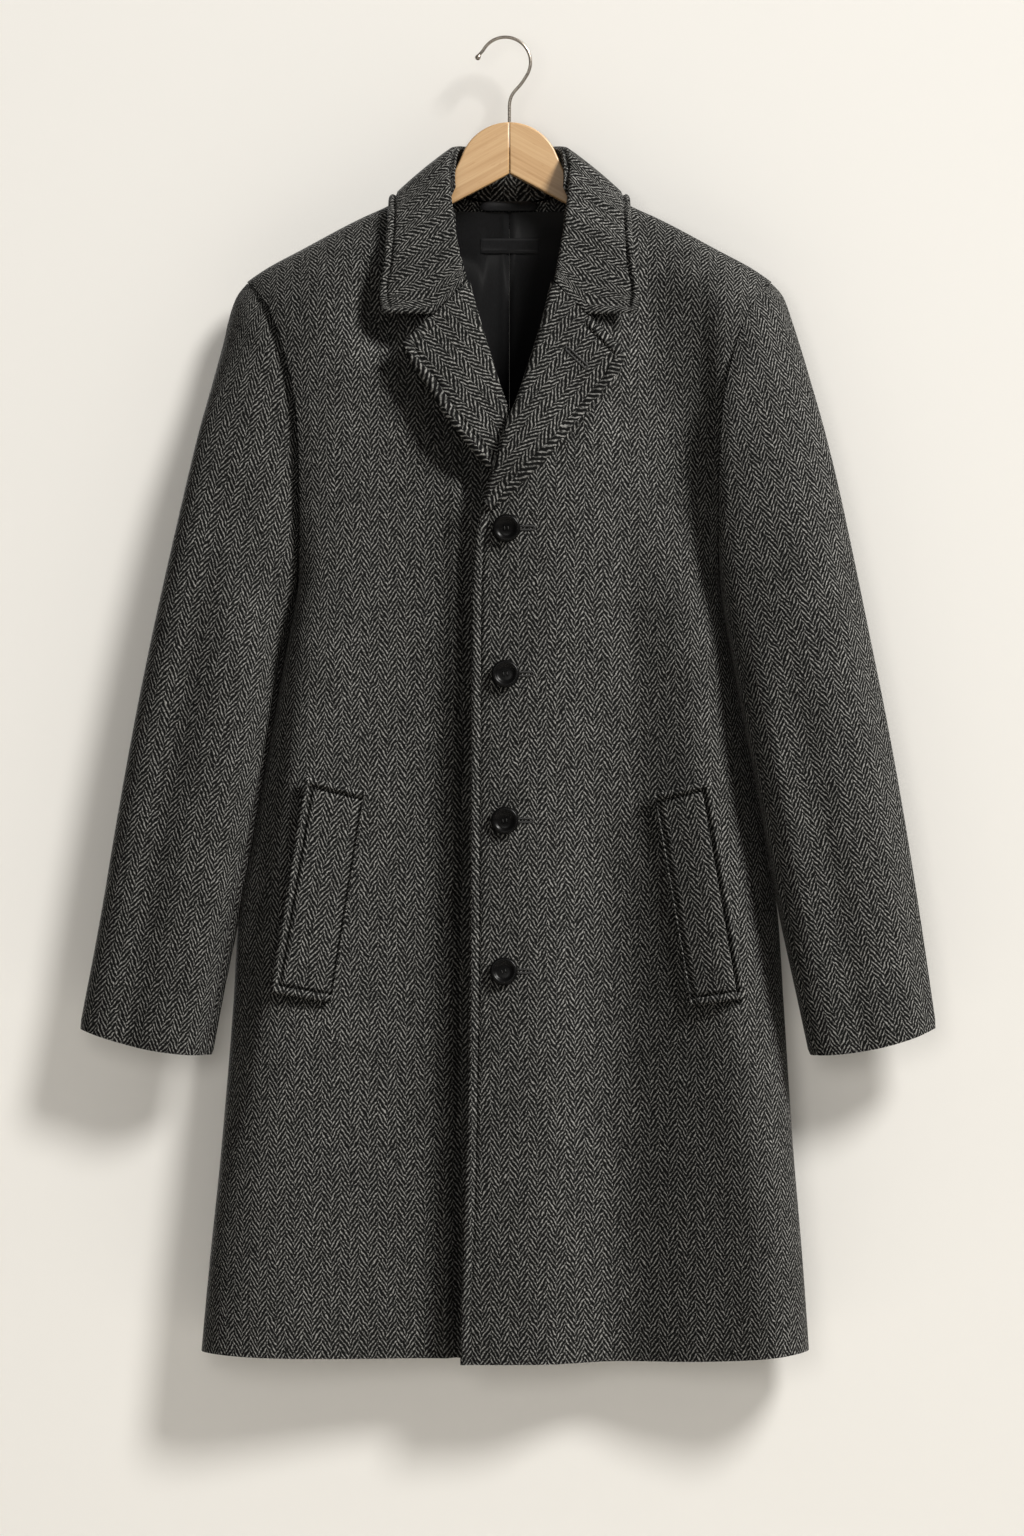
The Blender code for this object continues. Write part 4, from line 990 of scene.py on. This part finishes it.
# ---- Hanging loop and label --------------------------------------------------------------------------------
# A narrow padded satin loop sewn under the collar at both ends, and a bare woven patch in the same tone below
# it, stitched to the lining on all four sides.
LOOP = (-26.0, 25.5, 144.0, 152.3)      # ends, top and bottom
LOOP_Y = 31.2
LOOP_BOW = 1.6          # how far its middle stands off its sewn ends
LOOP_BAND = 0.4
LABEL = (-26.0, 27.5, 176.6, 190.0)     # ends, top and bottom
LABEL_CLOTH = 0.6
LABEL_OFF = 1.6         # face of the label, off the lining's face
LABEL_EDGE = 0.3        # how much lower its stitched edge lies


def make_loop():
    left, right, top, low = LOOP

    def loop_point(turn, share):
        angle, across = 2 * math.pi * turn / 24, 2 * share - 1
        x, half = left + (right - left) * share, (low - top) / 2
        fat = max(1 - across ** 8, 0.02) ** 0.5
        y = LOOP_Y - LOOP_BOW * (1 - across ** 4) + 1.3 - 1.4 * fat * math.sin(angle)
        return (x, y, half * fat * math.cos(angle) - (top + low) / 2), (x * MM, half * angle * MM)

    grid, cut = laid_out(range(25), spread(48, 0.7), loop_point)
    piece = add_cloth("hanger_loop", grid, cut, LOOP_BAND, trim_satin, True, "band")


def make_label():
    left, right, top, low = LABEL

    def label_point(down, share):
        x = left + (right - left) * share
        edge = LABEL_EDGE * ease(1.6, 0.6, min(down - top, low - down, x - left, right - x))
        y = body_depth(abs(x), down, 1, True) - LINING_INSET - LINING - LABEL_OFF + edge
        return (x, y, -down), (x * MM, -down * MM)

    grid, cut = laid_out([top + (low - top) * i / 16 for i in range(17)], spread(60, 0.5), label_point)
    piece = add_cloth("neck_label", grid, cut, LABEL_CLOTH, trim_satin, word="patch")


trim_satin = satin("trim_satin", "121213", "222224")
make_loop()
make_label()

# ---- Buttons and buttonholes -------------------------------------------------------------------------------
# Four 25 mm black horn buttons with a raised rim, a dished middle and four holes, sewn on with black thread
# over a short shank. Each buttonhole's worked end shows beside its button.
# Distance from the middle, height over the cloth
BUTTON_PROFILE = ((0.0, 2.4), (4.4, 2.5), (6.4, 2.7), (7.6, 3.2), (8.4, 3.9), (9.2, 4.4), (10.0, 4.65),
                  (10.9, 4.6), (11.7, 4.1), (12.3, 3.3), (12.5, 2.5), (12.2, 1.6), (11.2, 0.8), (6.0, 0.3),
                  (0.0, 0.2))
# X, down, degrees turned to the wearer's right, degrees tipped down
BUTTONS = ((-2.4, 442.5, 5, 5), (-3.6, 572.5, -2, -4), (-3.9, 703.0, 4, 3), (-5.0, 837.5, 0, -5))
BUTTON_OUT = 2.6                        # height of a button's middle plane over the front
BUTTON_HOLES = 4
HOLE_OUT = 2.3
HOLE_RADIUS = 1.05
BIT_LENGTH = 3.0                        # of the drill that cuts a hole
BIT_OUT = 2.6                           # and how far out from the button's back its middle lies
FIRST_HOLE = 45                         # degrees of a button's first hole from the level
HOLE_TURN = 4                           # and how much more on each button down the front
SLIT_HALF = 0.7
LIP = 1.9                               # width of the worked thread on each side of a slit
LIP_SINK = 0.15                         # how deep it is pulled into the cloth
LIP_TWIST = 0.86                        # every other turn of it is this much thinner
SEWING_THREAD = 0.84                    # two threads side by side
STITCH_FROM = 1.2                       # height over the button's back where a stitch starts
STITCH_RISE = 2.0
SHANK_RADIUS = 1.7
SHANK_TURN = 0.6                        # height of one turn of the wound shank
BUTTONHOLE_RUN = (-3.0, 23.6)           # ends of each buttonhole, from its button's middle
FLOWER_HOLE = ((52.0, 283.5), (68.2, 299.0))    # x, down of its two ends


def horn():
    """Polished black horn: nearly black, with faint level streaks 2.5 mm wide and a soft gloss."""
    made, tree, shader, place = new_material("black_horn", {"IOR": 1.54, "Specular IOR Level": 0.1})
    along = node(tree, "Mapping", {"Vector": place, "Scale": (60, 60, 400)})
    streaks = node(tree, "TexNoise", {"Vector": along, "Scale": 1.0, "Detail": 3.0})
    node(tree, "ValToRGB", {"Fac": streaks}, shader.inputs["Base Color"], ((0.3, "040404"), (0.8, "0c0b0b")))
    node(tree, "MapRange", {"Value": streaks, "To Min": 0.26, "To Max": 0.36}, shader.inputs["Roughness"])
    return made


def sewing_thread():
    """Twisted black polyester sewing thread, dull with 0.3 mm fibres."""
    made, tree, shader, place = new_material("black_sewing_thread", {"Roughness": 0.7})
    fibres = node(tree, "TexNoise", {"Vector": place, "Scale": 3000.0, "Detail": 2.0})
    node(tree, "ValToRGB", {"Fac": fibres}, shader.inputs["Base Color"], ((0.3, "0a0a0a"), (0.7, "1d1c1b")))
    return made


def turned_disc(name, profile, steps=64):
    """Mesh turned round the Y axis, its height towards the front."""
    work = bmesh.new()
    rings = []
    for radius, height in profile:
        turns = [2 * math.pi * k / steps for k in range(steps if radius else 1)]
        wide = radius * MM
        rings.append([work.verts.new((wide * math.cos(turn), -height * MM, wide * math.sin(turn)))
                      for turn in turns])
    for inner, outer in zip(rings, rings[1:]):
        for k in range(steps):
            after = k + 1
            corners = [inner[k % len(inner)], inner[after % len(inner)], outer[after % len(outer)],
                       outer[k % len(outer)]]
            work.faces.new(list(dict.fromkeys(corners)))
    bmesh.ops.recalc_face_normals(work, faces=work.faces)
    mesh = bpy.data.meshes.new(name)
    work.to_mesh(mesh)
    work.free()
    mesh.shade_smooth()
    return mesh


def worked_hole(name, carrier, start, end, thread):
    """Slit between two lips of closely wound thread, laid on the face of the piece that carries it."""
    start, end = Vector(start), Vector(end)
    along, run = (end - start).normalized(), (end - start).length
    away = Vector((-along.y, along.x))
    half = SLIT_HALF + LIP / 2
    turns = [math.pi * k / 10 for k in range(1, 10)]
    outline = [(run * k / 60, half) for k in range(61)]
    outline += [(run + half * math.sin(turn), half * math.cos(turn)) for turn in turns]
    outline += [(run * (1 - k / 60), -half) for k in range(61)]
    outline += [(-half * math.sin(turn), -half * math.cos(turn)) for turn in turns]
    points = []
    for k, (forth, side) in enumerate(outline):
        x, down = start + along * forth + away * side
        face = carrier.ray_cast(Vector((x * MM, -0.5, -down * MM)), Vector((0, 1, 0)))[1]
        points.append((x, face.y / MM - LIP_SINK, -down, 1.0 if k % 2 else LIP_TWIST))
    curve = new_curve(name, LIP)
    add_line(curve, points, True)
    add_piece(name, curve, thread, [])


def drill(button, k, angle):
    """Cut one round hole through a button's blank."""
    hole = Vector((math.cos(angle), 0, math.sin(angle))) * HOLE_OUT
    bpy.ops.mesh.primitive_cylinder_add(vertices=20, radius=HOLE_RADIUS * MM, depth=BIT_LENGTH * MM,
                                        rotation=(math.pi / 2, 0, 0))
    bit = bpy.context.object
    bit.location = button.location + (hole - Vector((0, BIT_OUT, 0))) * MM
    bpy.context.view_layer.update()
    cut = button.modifiers.new(f"Hole {k + 1}", "BOOLEAN")
    cut.object = bit
    cut.operation = "DIFFERENCE"
    bpy.context.view_layer.objects.active = button
    bpy.ops.object.modifier_apply(modifier=cut.name)
    bpy.data.objects.remove(bit)


def make_buttons():
    black_horn, thread = horn(), sewing_thread()
    front, lapel = bpy.data.objects["front_left_cloth"], bpy.data.objects["lapel_left_cloth"]
    bpy.context.view_layer.update()
    for number, (x, down, turn, nod) in enumerate(BUTTONS, 1):
        first, last = BUTTONHOLE_RUN
        worked_hole(f"buttonhole_{number}", front, (x + first, down), (x + last, down), thread)
        blank = turned_disc(f"button_{number}_horn", BUTTON_PROFILE)
        button = add_piece(blank.name, blank, black_horn, [f"button_{number}"])
        button.location += Vector((x, front_face(x, down, 1, BUTTON_OUT), -down)) * MM
        for k in range(BUTTON_HOLES):
            drill(button, k, math.radians(FIRST_HOLE + 90 * k + HOLE_TURN * number))
        blank.set_sharp_from_angle(angle=math.radians(40))
        button.rotation_euler = (math.radians(nod), 0, math.radians(-turn))
        sew_on(button, number, thread)
    worked_hole("flower_hole", lapel, *FLOWER_HOLE, thread)


def sew_on(button, number, thread):
    """Two stitches of doubled thread over the button's middle and the wound shank behind it."""
    curve = new_curve(f"button_{number}_thread", SEWING_THREAD)
    tilt = math.radians(FIRST_HOLE + HOLE_TURN * number)
    for side in (1, -1):
        first = Vector((math.cos(tilt), 0, math.sin(tilt))) * HOLE_OUT * side
        second = Vector((math.sin(tilt), 0, -math.cos(tilt))) * HOLE_OUT * side
        ats = [first.lerp(second, k / 12) for k in range(13)]
        add_line(curve, [(at.x, -STITCH_FROM - STITCH_RISE * math.sin(math.pi * k / 12) ** 0.35, at.z, 1)
                         for k, at in enumerate(ats)])
    turns = [math.pi * k / 3 for k in range(25)]
    wound = [Vector((math.cos(turn), 0, math.sin(turn))) * SHANK_RADIUS for turn in turns]
    add_line(curve, [(at.x, 0.1 + SHANK_TURN / 6 * k, at.z, 1.3) for k, at in enumerate(wound)])
    piece = add_piece(curve.name, curve, thread, [])
    piece.location = button.location
    piece.rotation_euler = button.rotation_euler


make_buttons()

# ---- Room --------------------------------------------------------------------------------------------------
# A pale plaster wall close behind the coat and a plain pale floor 2 m below the nail. A studio light from the
# upper right throws the shadow on the wall. The coat has its own lights, so that its folds show.
WALL_Y = 62.0
FLOOR_DOWN = 2000.0
WALL_HALF = 3.0         # half width of the wall and the floor, in metres
WALL_TOP = 1.6
FLOOR_REACH = 4.0
CAMERA_AWAY = 5.76      # this and the next three in metres
CAMERA_X = 0.006
CAMERA_DOWN = 0.6563
FRAME_TALL = 1.3824     # height of the view at the shoulder plane
SENSOR = 36.0
ROOM_GLOW = 0.15        # strength of the light from all round
LIGHTS_AIM = Vector((0, 0, -0.6))
# Place, size, power, colour, what it lights
LIGHTS = (("key", (2.5, -5.1, 2.95), 1.7, 304, "fffdf9", "room_and_inside"),
          ("main", (3.2, -2.5, 2.3), 1.4, 468, "fffdf9", "coat"),
          ("front", (-0.6, -4.6, 0.8), 1.6, 28, "fffdf9", "coat"),
          ("fill", (-0.5, -5.0, -0.3), 1.5, 52, "fffbf5", "room"),
          ("back", (-1.2, 3.0, 0.8), 2.5, 120, "ffffff", "coat"))


def matt_paint(name, colour):
    """Matt emulsion paint, smooth and even."""
    return new_material(name, {"Base Color": srgb(colour), "Roughness": 0.9, "Specular IOR Level": 0.1})


def add_surface(name, corners, colour):
    """Painted flat surface of the room; gives its paint's tree, its shader and the object."""
    data = bpy.data.meshes.new(name)
    data.from_pydata(corners, [], [(0, 1, 2, 3)])
    paint, tree, shader, _ = matt_paint(f"{name}_paint", colour)
    data.materials.append(paint)
    surface = bpy.data.objects.new(name, data)
    bpy.context.scene.collection.objects.link(surface)
    surface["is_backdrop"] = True
    return tree, shader, surface


def make_room():
    """The wall is clear from behind, so that it doesn't hide the coat's back."""
    low, behind = -FLOOR_DOWN * MM, WALL_Y * MM
    half, reach = WALL_HALF, FLOOR_REACH
    corners = [(-half, behind, low), (half, behind, low), (half, behind, WALL_TOP), (-half, behind, WALL_TOP)]
    tree, shader, wall = add_surface("wall", corners, "f0eeea")
    seen = node(tree, "NewGeometry").outputs["Backfacing"]
    clear = node(tree, "BsdfTransparent")
    node(tree, "MixShader", {0: seen, 1: shader, 2: clear}, tree.nodes["Material Output"].inputs["Surface"])
    wall.visible_shadow = False
    corners = [(-half, -reach, low), (half, -reach, low), (half, reach, low), (-half, reach, low)]
    floor = add_surface("floor", corners, "ece8e1")[2]
    world = bpy.data.worlds.new("room")
    world.use_nodes = True
    light = world.node_tree.nodes["Background"]
    light.inputs["Color"].default_value = srgb("faf9f7")
    light.inputs["Strength"].default_value = ROOM_GLOW
    bpy.context.scene.world = world
    return wall, floor


def light_room(wall, floor):
    """Studio lights; a collection for each kind of light holds what it falls on."""
    lit = {name: bpy.data.collections.new(name) for name in ("coat", "room", "room_and_inside")}
    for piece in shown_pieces():
        inside = piece.name.startswith(("lining", "hanger_loop", "neck_label"))
        lit["room_and_inside" if inside else "coat"].objects.link(piece)
    for surface in (wall, floor):
        lit["room"].objects.link(surface)
        lit["room_and_inside"].objects.link(surface)
    for name, place, size, power, colour, falls_on in LIGHTS:
        data = bpy.data.lights.new(name, "AREA")
        data.shape = "DISK"
        data.size = size
        data.energy = power
        data.color = srgb(colour)[:3]
        light = bpy.data.objects.new(name, data)
        light.location = place
        light.rotation_euler = (LIGHTS_AIM - Vector(place)).to_track_quat("-Z", "Y").to_euler()
        light.light_linking.receiver_collection = lit[falls_on]
        bpy.context.scene.collection.objects.link(light)


def add_camera():
    scene = bpy.context.scene
    lens = bpy.data.cameras.new("camera")
    lens.sensor_fit = "VERTICAL"
    lens.sensor_height = SENSOR
    lens.lens = SENSOR * CAMERA_AWAY / FRAME_TALL
    camera = bpy.data.objects.new("camera", lens)
    camera.location = (CAMERA_X, -CAMERA_AWAY, -CAMERA_DOWN)
    camera.rotation_euler = (math.pi / 2, 0, 0)
    scene.collection.objects.link(camera)
    scene.camera = camera
    scene.view_settings.view_transform = "Standard"
    scene.view_settings.look = "None"


light_room(*make_room())
add_camera()
